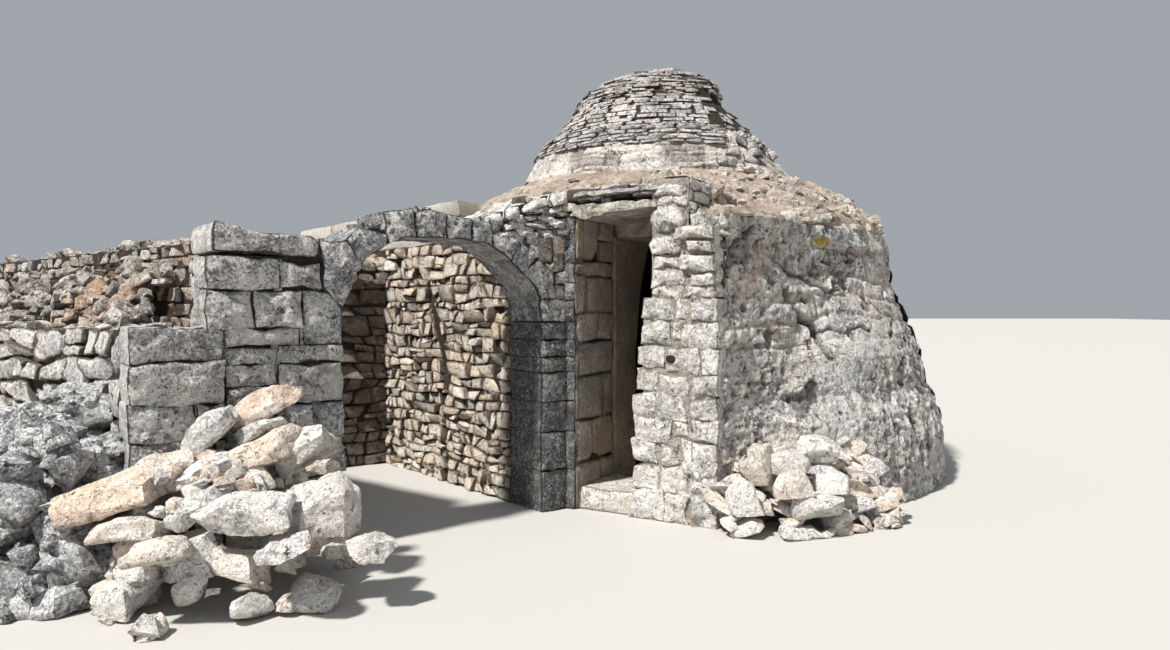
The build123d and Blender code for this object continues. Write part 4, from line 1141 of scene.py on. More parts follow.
# wall top between the arch and the roof, small stones
cen, siz = [], []
for k in range(70):
    s_ = rng.uniform(-0.60, 0.62)
    d_ = rng.uniform(0.16, 0.62)
    zt = float(np.interp(s_, [-.55, 0, .182, .372, .556, .646], [2.45, 2.47, 2.45, 2.38, 2.31, 2.27]))
    h = rng.uniform(0.022, 0.055)
    cen.append(sd(s_, d_, zt - rng.uniform(0, 0.05)))
    siz.append((h * rng.uniform(1.2, 2.2), h * rng.uniform(1.1, 1.8), h))
rocks(jamb, rng, np.array(cen), np.array(siz), n=3, rough=0.010)
lay(jamb, rng, courses(rng, 0.36, 2.20, 2.44, (0.06, 0.1), (0.1, 0.2), t0=-1.03), plane(uw(0, 0.03), DU, -DW), n=4, out=(0.0, 0.02), depth=0.15, rough=0.01)
jamb.build(JAMBM, (), "door_blocks")
rng = np.random.default_rng(331)
reveal = Piece("reveal_stones")
LEFT_REV = plane(uw(-0.68, 0), DW, DU)
q = [(0, .40, 0, .36), (.40, .62, 0, .36), (0, .25, .36, .70), (.25, .62, .36, .70), (0, .42, .70, 1.05), (.42, .62, .70, 1.05), (0, .62, 1.05, 1.33),
     (0, .34, 1.33, 1.56), (.34, .62, 1.33, 1.56), (0, .13, 1.56, 1.87), (.13, .62, 1.56, 1.86), (0, .62, 1.87, 1.985), (0, .10, 1.985, 2.325), (.10, .36, 1.985, 2.325),
     (.36, .62, 1.985, 2.16), (.36, .62, 2.16, 2.325)]
q = np.array([[(a, c), (b, c), (b, d), (a, d)] for a, b, c, d in q], float)
q[:, :, 1] += 0.012 * np.sin(q[:, :, 0] * 9 + q[:, :, 1] * 3)
q[:, :, 1] = np.clip(q[:, :, 1], 0, 2.325)
lay(reveal, rng, q, LEFT_REV, n=10, out=(0.020, 0.032), depth=0.12, rough=0.011, bulge=0.012, gap=0.0015, tilt=0.02, e=(16, 26), chips=3, chip=(0.97, 1.2), lump=0.0)
RIGHT_REV = plane(uw(0, 0), DW, -DU)
lay(reveal, rng, courses(rng, 0.60, 0.0, 1.66, (0.2, 0.32), (0.22, 0.4), t0=0.02), plane(uw(-0.07, 0), DW, -DU), n=5, out=(0.0, 0.010), depth=0.1, rough=0.01, bulge=0.02)
lay(reveal, rng, courses(rng, 0.58, 1.68, 2.32, (0.12, 0.2), (0.2, 0.35), t0=0.02), RIGHT_REV, n=5, out=(0.0, 0.010), depth=0.1, rough=0.01, bulge=0.02)
reveal.build(CAVE, (), "door_blocks")

# ================================================================ door pier (O) and lintels (P, Q)
rng = np.random.default_rng(401)
dpier = Piece("door_pier_stones")
# near-black material: painted shade of a hole
HOLE_SHADE = stone_material("painted_hole_shade", [(0.03, 0.025, 0.02), (0.05, 0.04, 0.03)], speck=0.2, orange=0.0, white_amt=0.0, lichen_amt=0.0, dirt_amt=0.0)
DPX = [  # pixel outline boxes of the stones in the front of the pier, number, how far out
    (655, 184, 684, 196, .8, .03), (659, 194, 689, 206, .6, .02), (653, 234, 682, 255, .7, .03), (676, 226, 712, 241, .2, .07),
    (686, 240, 715, 252, .75, .06), (653, 255, 684, 269, .8, .02), (683, 254, 715, 272, .55, .05), (652, 269, 686, 287, .6, .02),
    (691, 271, 713, 285, .8, .03), (652, 286, 683, 298, .28, .018), (683, 285.5, 713, 298, .35, .016), (701.5, 349.5, 714, 375.5, .4, .014),
    (643, 298.5, 675, 320.5, .88, .024), (675.3, 299, 691.5, 320, .22, .012), (692, 299, 714, 320.5, .92, .024),
    (641, 321.5, 673, 344, .9, .024), (682, 322, 713, 347.5, .70, .022), (673.5, 322, 681.5, 345, .15, .006),
    (637, 346, 665, 367, .62, .015), (666.5, 349, 700.5, 373.5, .55, .024), (702, 350, 714, 375, .42, .014),
    (637, 368, 659.5, 392.5, .66, .015), (660.5, 375.5, 689, 393, .35, .015), (691.5, 376.5, 714, 396, .92, .026),
    (634, 394, 687, 417, .74, .022), (690.5, 397.5, 714, 419, .86, .024),
    (635, 418.5, 673.5, 441, .66, .018), (675, 421, 688, 435, .4, .014), (689.5, 421, 715, 441.5, .58, .026),
    (634, 442, 659.5, 463.5, .6, .016), (661, 446, 680, 465.5, .95, .024), (682.5, 443.5, 716, 473.5, .68, .030),
    (633, 464.5, 660.5, 488, .6, .016), (661.5, 467, 689, 492, .4, .016), (690.5, 475, 718, 500, .6, .020),
    (632, 488.5, 664, 520, .6, .016), (664.5, 493, 690.5, 528, .4, .014), (691.5, 500.5, 719, 530, .6, .020)]
for x0, y0, x1, y1, num, o in DPX:
    u0, z0 = on_door(x0, y1)
    u1, z1 = on_door(x1, y0)
    z0 = max(z0, 0.0)
    if x1 >= 712:
        u1 = 0.532 if y0 > 290 else 0.500
    pts = np.array([(u0, z0), ((u0 + u1) / 2, z0), (u1, z0), (u1, (z0 + z1) / 2), (u1, z1), ((u0 + u1) / 2, z1), (u0, z1), (u0, (z0 + z1) / 2)])
    pts += rng.normal(0, 0.011, pts.shape) * np.where(pts[:, :1] > 0.49, 0.3, 1.0)
    block(dpier, rng, pts, DOOR, out=o, depth=0.24 + o, bevel=0.020 if y0 < 298 else 0.015, rough=0.017, N=52, rnd=num, gap=0.002,
          tilt=rng.normal(0, 0.04, 2), pits=0.010 if num < 0.5 else 0.005)
# the large rounded stone under the slabs; the hole below it is a dark blob, painted shade, made further down
pts = [on_door(x, y) for x, y in ((652, 210), (660, 205), (676, 204), (684, 210), (688, 220), (682, 228), (671, 232), (657, 231), (651, 222))]
block(dpier, rng, pts, DOOR, out=0.04, depth=0.3, bevel=0.05, rough=0.012, N=56, rnd=0.65, gap=0.002, bulge=0.03, pits=0.006)
# wide flat face of the pier with mortar between its stones
PFACE = plane(uw(0, 0), DU, -DW)


def pier_relief(T, Z, P):
    x, y = project(P)
    Q = P * 1.0
    n = fbm(Q, 6, 4, 61) * 0.008 + fbm(Q, 26, 3, 62) * 0.005
    # painted shadow: thin dark cracks in colour only, with no dent
    crk = 0.75 * sstep(0.15, 0.45, vnoise(P, 3.1, 65)) * sstep(0.06, 0.02, np.abs(vnoise(P, 9.0, 66)))
    return 0.004 + n, 0.5 + 0.2 * n / 0.008, 0.70 + 0 * T, crk


flat(dpier, PFACE, -0.068, 0.518, 0.0, 1.678, 26, 66, pier_relief)
flat(dpier, PFACE, 0.002, 0.486, 1.678, 2.155, 22, 22, pier_relief)
flat(dpier, PFACE, 0.002, 0.298, 2.155, 2.56, 18, 22, pier_relief)
# flank towards the drum, upper part, and its top
FLANK = plane(uw(0.488, 0), DW, DU)
lay(dpier, rng, courses(rng, 0.60, 1.66, 2.16, (0.08, 0.14), (0.14, 0.26), t0=0.0), FLANK, n=5, out=(0.0, 0.03), depth=0.15, rough=0.012)
TOP_UW = lambda zz: (lambda t, z, o: uw(0, 0) + t[..., None] * DU + z[..., None] * DW + (zz + o)[..., None] * UP)
lay(dpier, rng, courses(rng, 0.20, 0.0, 0.6, (0.16, 0.26), (0.12, 0.2), t0=0.29), TOP_UW(2.15), n=5, out=(0.0, 0.03), depth=0.15, rough=0.012)
lay(dpier, rng, courses(rng, 0.18, 0.02, 0.42, (0.16, 0.26), (0.14, 0.2), t0=0.10), TOP_UW(2.565), n=5, out=(0.0, 0.015), depth=0.15, rough=0.012)
lay(dpier, rng, courses(rng, 0.44, 2.15, 2.56, (0.06, 0.11), (0.10, 0.18), t0=0.0), plane(uw(0.298, 0), DW, DU), n=5, out=(0.0, 0.03), depth=0.12, rough=0.014,
    e=(8, 13), chips=6, chip=(0.85, 1.12), gap=0.0)
dpier.build(PALE, (), "door_blocks")
# a dark flattened blob on the pier face: painted shade of a hole
hole = Piece("door_pier_painted_hole_shade")
u0, z0 = on_door(672.3, 358.8)
rocks(hole, rng, [uw(u0, -0.030, z0)], np.array([[0.034, 0.012, 0.027]]), n=8, yaw=[-math.radians(30)], tilt=0.0, rough=0.012, e=(2.2, 2.4), chips=0, lump=0.1)
hole.build(HOLE_SHADE, (), "door_blocks")

rng = np.random.default_rng(431)
lint = Piece("lintels")
# outer lintel: a long ragged slab
LPX = [(573, 209), (575, 205.5), (583, 204.5), (592, 203.0), (600, 203.5), (608, 202.0), (618, 201.0), (628, 200.5), (636, 201.5), (645, 200.0), (655, 200.0),
       (658, 207), (650, 207.5), (642, 209.5), (636, 209), (628, 211), (621, 211.5), (613, 213.5), (606, 214), (599, 216.5), (592, 217), (586, 219.5), (580, 219.5),
       (576, 217), (572, 213)]
pts = [on_door(x, y, -0.02) for x, y in LPX]
block(lint, rng, pts, plane(uw(0, -0.02), DU, -DW), out=0.02, depth=0.66, bevel=0.022, rough=0.014, N=110, rnd=0.85, gap=0.0, bulge=0.006, pits=0.008, freq=12)
block(lint, rng, [(-0.79, 2.20), (-0.4, 2.195), (0.14, 2.2), (0.14, 2.32), (-0.3, 2.322), (-0.79, 2.32)], plane(uw(0, 0.62), DU, -DW),
      out=0.0, depth=0.50, bevel=0.02, rough=0.012, N=60, rnd=0.2, gap=0.0, bulge=0.0)
block(lint, rng, [(-0.79, 2.20), (0.14, 2.2), (0.14, 2.32), (-0.79, 2.32)], plane(uw(0, 1.12), DU, -DW),
      out=0.0, depth=0.38, bevel=0.02, rough=0.012, N=50, rnd=0.2, gap=0.0, bulge=0.0)
lint.build(LINTEL, ["door_lintel_outer", "door_lintel_inner"], "door_blocks")

led = Piece("ledge_slabs")
# thin projecting slabs over the doorway: pixel left, its top, right, its top, thickness, how far back, depth
for x0, y0a, x1, y1a, th, w0, dep, num in (
        (572, 193.0, 604, 189.5, 4.5, -0.06, 0.40, .35), (601, 190.5, 640, 186.0, 3.6, -0.07, 0.40, .75), (634, 187.0, 660, 184.0, 4.0, -0.05, 0.40, .6),
        (576, 198.5, 603, 195.5, 3.2, -0.01, 0.35, .3), (631, 193.0, 660, 190.5, 2.6, -0.03, 0.3, .9), (601, 195.5, 611, 195.0, 7.5, 0.03, 0.25, .15),
        (656, 190, 686, 186.0, 4.5, -0.02, 0.40, .7)):
    P4 = [(x0, y0a + th), (x0 + 1, y0a), ((x0 * 2 + x1) / 3, (y0a * 2 + y1a) / 3 - 0.7), ((x0 + 2 * x1) / 3, (y0a + 2 * y1a) / 3 + 0.4), (x1 - 1, y1a), (x1, y1a + th * 0.9),
          ((x0 + 2 * x1) / 3, (y0a + 2 * y1a) / 3 + th + 0.5), ((x0 * 2 + x1) / 3, (y0a * 2 + y1a) / 3 + th - 0.5)]
    pts = [on_door(x, y, w0) for x, y in P4]
    block(led, rng, pts, plane(uw(0, w0), DU, -DW), out=0.0, depth=dep, bevel=0.008, rough=0.010, N=56, rnd=num, gap=0.0, bulge=0.0, freq=13)
# small stones that fill behind the slabs, and the top of the ledge
lay(led, rng, courses(rng, 0.82, 2.43, 2.54, (0.03, 0.05), (0.06, 0.16), t0=-0.77), plane(uw(0, 0.20), DU, -DW), n=4, out=(0.0, 0.05), depth=0.12, rough=0.008, rfun=lambda a, b, r: r * 0.3)
lay(led, rng, courses(rng, 0.83, 0.02, 0.46, (0.12, 0.2), (0.14, 0.28), t0=-0.77), TOP_UW(2.54), n=4, out=(0.0, 0.03), depth=0.1, rough=0.010)
lay(led, rng, courses(rng, 0.40, 2.44, 2.55, (0.04, 0.06), (0.1, 0.2), t0=0.03), plane(uw(-0.765, 0), DW, -DU), n=4, out=(0.0, 0.02), depth=0.1, rough=0.008)
led.build(CONE, ["door_ledge"], "door_blocks")

# threshold
rng = np.random.default_rng(451)
th = Piece("threshold_stone")
block(th, rng, [(-0.678, 0.0), (-0.4, 0.0), (-0.072, 0.0), (-0.072, 0.175), (-0.4, 0.165), (-0.678, 0.18)], plane(uw(0, 0.03), DU, -DW),
      out=0.0, depth=0.59, bevel=0.025, rough=0.010, N=52, gap=0.0, rnd=0.4)
th.build(PALE, ["door_threshold"], "door_blocks")

# ================================================================ drum (R)
def drum_relief(T, L, P):
    x, y = project(P)
    Z = P[..., 2]
    num, H, O = masonry(T, Z, 509, (0.15, 0.27), (0.20, 0.46), warp=0.055, joint=0.022, rnd_r=0.04, slope=0.35)
    num2, H2, O2 = cells(T, Z, 517, 0.24, 0.14, joint=0.020)
    num3, H3, O3 = masonry(T, Z, 519, (0.20, 0.23), (0.20, 0.42), warp=0.03, joint=0.020, rnd_r=0.03, z0=2.10 - 5 * 0.21, slope=0.25)
    top = sstep(2.085, 2.10, Z + 0.01 * vnoise(P, 5, 75)) * sstep(718, 724, x)
    small = sstep(0.05, 0.30, vnoise(P, 1.5, 71) + 0.75 * blob(x, y, 745, 285, 34, 50) - 0.6 * blob(x, y, 870, 350, 60, 60) - 0.3)
    smooth = np.clip(0.9 * blob(x, y, 868, 350, 36, 44, 0.8) + 0.5 * blob(x, y, 812, 362, 20, 26, 0.8), 0, 1)
    rock = np.clip(sstep(0.0, 0.6, vnoise(P, 1.1, 73) + 0.8 * blob(x, y, 800, 405, 120, 50, 0.9) + 0.4 * blob(x, y, 830, 300, 40, 40, 0.9) + 0.8 * blob(x, y, 905, 420, 50, 90, 0.9)), 0, 1)
    small = small * (1 - top)
    rock = rock * (1 - 0.7 * top)
    num, H, O = np.where(top > 0.5, num3, num), H * (1 - top) + H3 * top, O * (1 - top) + O3 * top
    num = np.where(small > 0.5, num2, num)
    H = H * (1 - small) + H2 * small
    relief = H * (0.030 + 0.008 * np.clip(O, -1.6, 1.6)) * (1 - 0.45 * rock) * (1 - small) * (1 + 0.5 * top) + small * H2 * (0.016 + 0.006 * np.clip(O2, -1.6, 1.6))
    relief = relief * (1 - 0.85 * smooth) + 0.020 * smooth
    relief = relief * (1 - 0.5 * blob(x, y, 757, 262, 44, 38, 0.6))
    worn = np.clip(blob(x, y, 800, 388, 30, 30, 0.6) + 0.75 * sstep(345, 372, y) * sstep(712, 724, x), 0, 1)
    relief = relief * (1 - 0.85 * worn) + 0.024 * worn
    even = np.clip(blob(x, y, 770, 287, 15, 13, 0.6) + blob(x, y, 808, 391, 17, 14, 0.6), 0, 1)
    relief = relief * (1 - 0.7 * even) + 0.024 * even
    n = fbm(P, 1.8, 3, 81) * 0.022 + fbm(P, 7.0, 5, 82, 0.66) * 0.024 * (1 - 0.6 * smooth)
    # eroded hollows
    pit_w = np.clip(0.30 + 0.9 * blob(x, y, 760, 405, 75, 40, 0.9) + 0.8 * blob(x, y, 830, 262, 26, 22) + 0.9 * blob(x, y, 910, 400, 40, 90, 0.9)
                    + 0.6 * blob(x, y, 735, 232, 30, 14) + 0.5 * blob(x, y, 790, 235, 40, 16) + 0.6 * blob(x, y, 700, 425, 30, 25)
                    + 0.5 * sstep(0.1, 0.5, vnoise(P, 1.7, 91)) - 0.75 * smooth, 0.08, 1)
    kt = karst(P, 9.0, 111)
    W = P + 0.03 * np.stack([vnoise(P, 9, 92), vnoise(P, 9, 93), vnoise(P, 9, 94)], -1)
    d1, _ = worley(W, 12.0, 95)
    d1b, _ = worley(W, 25.0, 96)
    hole1, hole2 = sstep(0.44, 0.12, d1), sstep(0.42, 0.14, d1b)
    gate = sstep(-0.1, 0.4, vnoise(P, 3.3, 99))
    kt2 = karst(P, 17.0, 115)
    holes = pit_w * (hole1 * 0.020 * gate + hole2 * 0.012) - 0.022 * pit_w * kt - 0.014 * (0.35 + 0.65 * pit_w) * kt2
    holes = holes * (1 - 0.6 * even)
    # deep cracks
    cr = seg_dist(x + 4.0 * vnoise(P, 7, 97), y + 3.0 * vnoise(P, 9, 101), [(786, 290), (793, 308), (806, 324), (817, 336), (826, 350), (831, 357)])
    crack = sstep(4.4, 1.5, cr)
    cr2 = seg_dist(x + 4.0 * vnoise(P, 7, 98), y + 4.5 * vnoise(P, 9, 99), [(806, 322), (824, 330), (846, 334), (858, 328), (870, 332)])
    cr4 = seg_dist(x + 3 * vnoise(P, 6, 98), y + 3 * vnoise(P, 8, 100), [(778, 262), (800, 276), (812, 286), (840, 292)])
    wid = 0.5 + 0.5 * vnoise(P, 5, 106)
    fine = np.maximum(sstep(3.4 * wid + 0.4, 0.8, cr2), sstep(3.6 * wid + 0.2, 0.9, cr4))
    # dark hollows: dented a little and painted near black as shade
    caves = [(829, 259, 7, 3, 0.05), (826, 268, 4, 2, 0.04), (848, 262, 5, 3, 0.04), (790, 268, 6, 2, 0.03),
             (760, 383, 7, 3, 0.03), (748, 396, 5, 3, 0.03), (728, 408, 5, 3, 0.03), (724, 231, 3, 4, 0.035), (752, 227, 3, 3, 0.03),
             (808, 303, 4, 3, 0.03), (893, 330, 2, 12, 0.03), (905, 372, 2, 14, 0.03)]
    cave, shade = 0 * x, 0 * x
    wx, wy = x + 5.0 * vnoise(P, 9, 121) + 2.5 * vnoise(P, 22, 123), y + 5.0 * vnoise(P, 9, 122) + 2.5 * vnoise(P, 22, 124)
    for cx, cy, rx, ry, dd in caves:
        b = blob(wx, wy, cx, cy, rx, ry, 0.45)
        cave = np.maximum(cave, b * dd)
        shade = np.maximum(shade, b)
    streak = sstep(868, 900, x) * (karst(P * np.array([1, 1, 0.30]), 9.0, 103) * 0.026 + 0.012)
    slabs = blob(wx, wy, 828, 233, 17, 7, 0.25) * 0.045 + blob(wx, wy, 777, 215, 23, 5, 0.25) * 0.05 + blob(wx, wy, 805, 292, 20, 8, .25) * 0.02 \
        + blob(wx, wy, 778, 318, 16, 16, 0.2) * 0.022 + blob(wx, wy, 731, 338, 14, 12, 0.2) * 0.022 + blob(wx, wy, 708, 386, 17, 11, 0.2) * 0.02
    out = -0.004 + relief + n + 0.034 * sstep(738, 716, x) * sstep(2.45, 2.2, Z) * sstep(9.3, 8.9, P[..., 1]) - holes - 0.085 * crack - 0.030 * fine - cave + streak + slabs
    edge = np.clip((1 - H) * (1 - smooth) * (1 - 0.75 * rock) + 0.06 + 0.25 * small, 0, 1)
    # painted shade: cracks, hollows, pits and karst hollows darkened
    hollow_shade = np.clip(0.9 * crack + 0.6 * fine + 0.7 * shade + pit_w * gate * hole1 * 0.6 + 0.45 * pit_w * hole2 + 0.6 * pit_w * sstep(-0.65, -1.1, kt)
                  + 0.6 * (0.35 + 0.65 * pit_w) * sstep(-0.7, -1.1, kt2), 0, 1)
    return np.clip(out, -0.10, 0.080), num, edge, hollow_shade


def back_relief(seed, hr=(0.15, 0.27), wr=(0.2, 0.46), depth=0.030, base=0.004, amp=1.0):
    def f(T, L, P):
        num, H, O = masonry(T, P[..., 2], seed, hr, wr, warp=0.04, joint=0.030, rnd_r=0.05, slope=0.3)
        n = fbm(P, 2.2, 3, 81) * 0.016 + fbm(P, 8.0, 3, 82, 0.6) * 0.012
        kt = karst(P, 7.0, 111)
        # fourth value: painted shade in the deepest karst hollows
        return base + 0.020 + np.maximum(-0.018, H * (depth + 0.008 * O) - 0.010 + n * amp + 0.014 * kt), num, np.clip((1 - H) * 0.85 + 0.1, 0, 1), \
            0.5 * sstep(-0.7, -1.2, kt)
    return f


def keep_left(c):
    """Only what lies outside the annex and the doorway."""
    rel = c - AQ
    s_, d_ = rel @ AS, rel @ AD
    w_ = (c - DP) @ DW
    u_ = (c - DP) @ DU
    return ~((s_ > -0.13) & (d_ > 0.2)) & ~((w_ < 0.60) & (u_ < -0.1))


drum = Piece("drum_face")
turned(drum, DRUM, -90.5, -14, 296, 168, drum_relief, grow=beside_door)
dgold = Piece("drum_yellow_lichen")


def gold_keep(P):
    x, y = project(P)
    d = blob(x, y, 820, 242.3, 8.5, 3.2, 0.5) + 0.6 * blob(x, y, 808, 246, 4, 1.8, 0.5)
    return (d > 0.10) & (d + 0.45 * vnoise(P, 22, 151) + 0.2 * vnoise(P, 50, 152) > 0.42)


V_, F_ = drum.v[-1].reshape(-1, 3), drum.f[-1]
sel_ = gold_keep(V_[F_].mean(1)) & (V_[F_].mean(1)[:, 1] < 8.8)
F_ = F_[sel_]
used_, inv_ = np.unique(F_, return_inverse=True)
nn_ = np.array([0.35, -0.9, 0.25])
dgold.add(V_[used_] + 0.0025 * nn_ / np.linalg.norm(nn_), inv_.reshape(F_.shape), 0.5, 0.0)
dgold.build(GOLD, (), "rendered_rubble", sharp=None)
drum.build(SKIN, ["drum_wall_front_right", "drum_wall_right", "drum_wall_beside_door"], "rendered_rubble", sharp=None)
dback = Piece("drum_back")
turned(dback, DRUM, -14, 249.5, 300, 52, back_relief(523), keep=keep_left)
CH = [(1.55, 0), (1.55, 1.2), (1.45, 1.8), (1.233, 2.32), (1.044, 2.66), (0.64, 3.25), (0.30, 3.65), (0.205, 3.76)]
dback.build(SKIN, (), "rendered_rubble", sharp=None)

# chamber inside: corbelled rings, painted dark as shade
def cave_relief(T, L, P):
    num, H, O = masonry(T * 1.0, L, 557, (0.12, 0.2), (0.16, 0.36), warp=0.02, joint=0.03, rnd_r=0.03, z1=5.2)
    n = fbm(P, 5.0, 3, 82, 0.6) * 0.012
    return 0.010 + H * 0.022 + n, num, np.clip((1 - H), 0, 1)


cham = Piece("chamber_lining")
turned(cham, CH, -94, 247.5, 140, 44, lambda T, L, P: cave_relief(T, L, P), flip=True)
turned(cham, CH, 247, 266.5, 12, 46, lambda T, L, P: cave_relief(T, L, P), flip=True, l0=2.27)
cham.build(CHAMBER_SHADE, (), "rendered_rubble", sharp=None)

# ================================================================ shoulder of the roof (S)
SHO = [(2.21, 2.30), (2.20, 2.33), (1.95, 2.60), (1.65, 2.75), (1.47, 2.825), (1.40, 2.84)]


def shoulder_relief(T, L, P):
    n = fbm(P, 3.0, 4, 131) * 0.030 + fbm(P, 14, 3, 132) * 0.014
    num, H, O = masonry(T, L, 563, (0.05, 0.10), (0.06, 0.16), warp=0.04, joint=0.03, rnd_r=0.03)
    on = sstep(0.05, 0.35, vnoise(P, 2.6, 133) + 0.05)
    return 0.014 + n + H * on * 0.028, num, np.clip(1 - H * on, 0, 1), 0.3 * sstep(0.1, 0.6, vnoise(P, 19, 134))


rng = np.random.default_rng(601)
sh = Piece("roof_shoulder_rubble")


def keep_sh(c):
    rel = c - DP
    u_, w_ = rel @ DU, rel @ DW
    return ~((u_ < 0.31) & (u_ > -1.3) & (w_ < 0.42)) & ~((u_ < 0.50) & (w_ < 0.05))


def shoulder_grid(a0, a1, na, nl):
    A = np.radians(np.linspace(a0, a1, na + 1))
    Rw = beside_door(A, 0 * A + 2.30, 0 * A + 2.21)
    rows = []
    ctrl_z = [2.285, 2.325, 2.35, 2.40, 2.60, 2.75, 2.825, 2.84]
    rad = [Rw, Rw - 0.01, Rw * 0.5 + 2.19 * 0.5, 2.17 + 0 * A, 1.95 + 0 * A, 1.65 + 0 * A, 1.47 + 0 * A, 1.40 + 0 * A]
    pos = [0.0, 0.06, 0.16, 0.28, 0.52, 0.75, 0.94, 1.0]
    q = np.linspace(0, 1, nl + 1)
    z = np.interp(q, pos, ctrl_z)
    R = np.array([np.interp(q, pos, [r_[i] for r_ in rad]) for i in range(len(A))]).T
    A2 = A[None] + 0 * R
    return np.stack([DC[0] + R * np.cos(A2), DC[1] + R * np.sin(A2), z[:, None] + 0 * R], -1), A2, q[:, None] + 0 * R


for a0, a1, na, nl in ((-100, 8, 210, 48), (8, 260, 180, 16)):
    P, A2, Q2 = shoulder_grid(a0, a1, na, nl)
    field(sh, P, shoulder_relief(A2 * 1.9, Q2 * 1.0, P), keep=keep_sh)
cen, siz = [], []
for k in range(250):
    a = math.radians(rng.uniform(-125, 235) if k > 200 else rng.uniform(-100, -5))
    l = rng.uniform(0.0, 1.0)
    rw = float(beside_door(np.array([a]), np.array([2.30]), np.array([2.20]))[0])
    r = rw + (1.47 - rw) * l
    z = float(np.interp(-r, [-3.0, -2.21, -1.95, -1.65, -1.47], [2.32, 2.36, 2.60, 2.75, 2.825]))
    p = np.array([DC[0] + r * math.cos(a), DC[1] + r * math.sin(a), z])
    rel = p - DP
    if -1.35 < rel @ DU < 0.33 and rel @ DW < 0.45 or rel @ DW < 0.05:
        continue
    h = rng.uniform(0.010, 0.034) * (1.8 if rng.random() < 0.08 else 1)
    cen.append(p + UP * (0.016 + h * 0.3))
    siz.append((h * rng.uniform(1.0, 1.9), h * rng.uniform(1.0, 1.7), h * rng.uniform(0.6, 1.0)))
rocks(sh, rng, np.array(cen), np.array(siz), n=3, rough=0.007)
# stones packed over the doorway and behind the pier's cap
cen, siz = [], []
for k in range(80):
    u_, w_ = rng.uniform(-0.80, 0.34), rng.uniform(0.40, 0.86)
    zt = 2.62 if u_ < 0.05 else 2.50
    h = rng.uniform(0.02, 0.05)
    cen.append(uw(u_, w_, zt + rng.uniform(-0.05, 0.015)))
    siz.append((h * rng.uniform(1.2, 2.2), h * rng.uniform(1.0, 1.7), h))
for k in range(26):
    h = rng.uniform(0.03, 0.055)
    cen.append(uw(0.28 + rng.uniform(-0.01, 0.04), rng.uniform(0.40, 0.80), rng.uniform(2.34, 2.50)))
    siz.append((h * rng.uniform(1.0, 1.5), h * rng.uniform(1.2, 2.0), h))
rocks(sh, rng, np.array(cen), np.array(siz), n=4, rough=0.010)
# the terrace edge: flat stones along the front
cen, siz, yaws = [], [], []
a = -96.0
while a < 20:
    w = rng.uniform(0.10, 0.26)
    ar = math.radians(a)
    r = float(beside_door(np.array([ar]), np.array([2.30]), np.array([2.21]))[0]) - 0.07 + rng.normal(0, 0.02)
    h = rng.uniform(0.022, 0.052)
    p = np.array([DC[0] + r * math.cos(ar), DC[1] + r * math.sin(ar), 2.325 + h * 0.4 + rng.normal(0, 0.012)])
    rel = p - DP
    if not (rel @ DU < 0.56 and rel @ DW < 0.6) and rng.random() < 0.8:
        cen.append(p); siz.append((w / 2 * 1.05, 0.11, h)); yaws.append(ar + math.pi / 2)
    a += math.degrees(w / r)
rocks(sh, rng, np.array(cen), np.array(siz), n=4, yaw=yaws, tilt=0.12, rough=0.014)
sh.build(EARTHY, (), "roof_rubble")

# ================================================================ cone (T, U, V, W)
rng = np.random.default_rng(701)
LOWC = [(1.47, 2.66), (1.455, 2.75), (1.385, 2.96), (1.27, 3.17), (1.20, 3.26)]
LOWB = [(1.47, 2.66), (1.423, 2.825), (1.225, 3.02), (1.10, 3.16), (1.045, 3.26)]


def cone_relief(T, L, P):
    x, y = project(P)
    num, H, O = masonry(T, L, 571, (0.035, 0.085), (0.10, 0.42), warp=0.032, joint=0.013, rnd_r=0.010, z1=0.9, slope=0.5)
    n = fbm(P, 3.0, 3, 141) * 0.016 + fbm(P, 12, 4, 142, 0.62) * 0.013
    kt = karst(P, 15.0, 144)
    cover = sstep(-0.10, 0.40, vnoise(P, 2.4, 143) + 0.3 * blob(x, y, 745, 180, 26, 26) + 0.02)
    h = H * (0.024 + 0.006 * np.clip(O, -1.5, 1.5))
    # fourth value: painted shade in the joints and karst hollows
    return 0.010 + n + 0.006 * kt + h * cover + 0.014 * (1 - cover), num, np.clip((1 - H) * cover + (1 - cover) * 0.35, 0, 1), \
        np.clip(0.75 * (1 - H) * cover * sstep(-0.25, 0.2, vnoise(P, 5, 145)) + 0.55 * sstep(-0.7, -1.1, kt), 0, 1)


cl = Piece("cone_lower_face")
turned(cl, LOWC, -185, -62, 214, 46, cone_relief)
turned(cl, LOWB, -62.5, 48, 130, 24, cone_relief)
turned(cl, LOWC, 48, 175, 90, 20, cone_relief)
cl.build(PINK, (), "cone_render", sharp=None)

# the gap course and the upper cone: thin slabs, each laid on its own
rng = np.random.default_rng(721)
cu = Piece("cone_slabs")


def cone_surf(profile):
    profile = np.asarray(profile, float)

    def surf(t, z, o):
        r = np.interp(z, profile[:, 1], profile[:, 0]) + o
        a = t
        return np.stack([DC[0] + r * np.cos(a), DC[1] + r * np.sin(a), z + 0 * r], -1)
    return surf


UPC = [(1.16, 3.25), (1.165, 3.29), (1.172, 3.30), (1.07, 3.41), (0.98, 3.53), (0.89, 3.65), (0.85, 3.76), (0.80, 3.80)]
BARE = [(1.05, 3.25), (0.90, 3.44), (0.65, 3.70), (0.64, 3.80)]
def ang_at(xp, zz, r):
    """Angle at which the cone's front at height zz, radius r, is seen at pixel column xp."""
    A = np.radians(np.linspace(-92, -45, 200))
    q = np.stack([DC[0] + r * np.cos(A), DC[1] + r * np.sin(A), zz + 0 * A], -1)
    return float(np.interp(xp, project(q)[0], A))


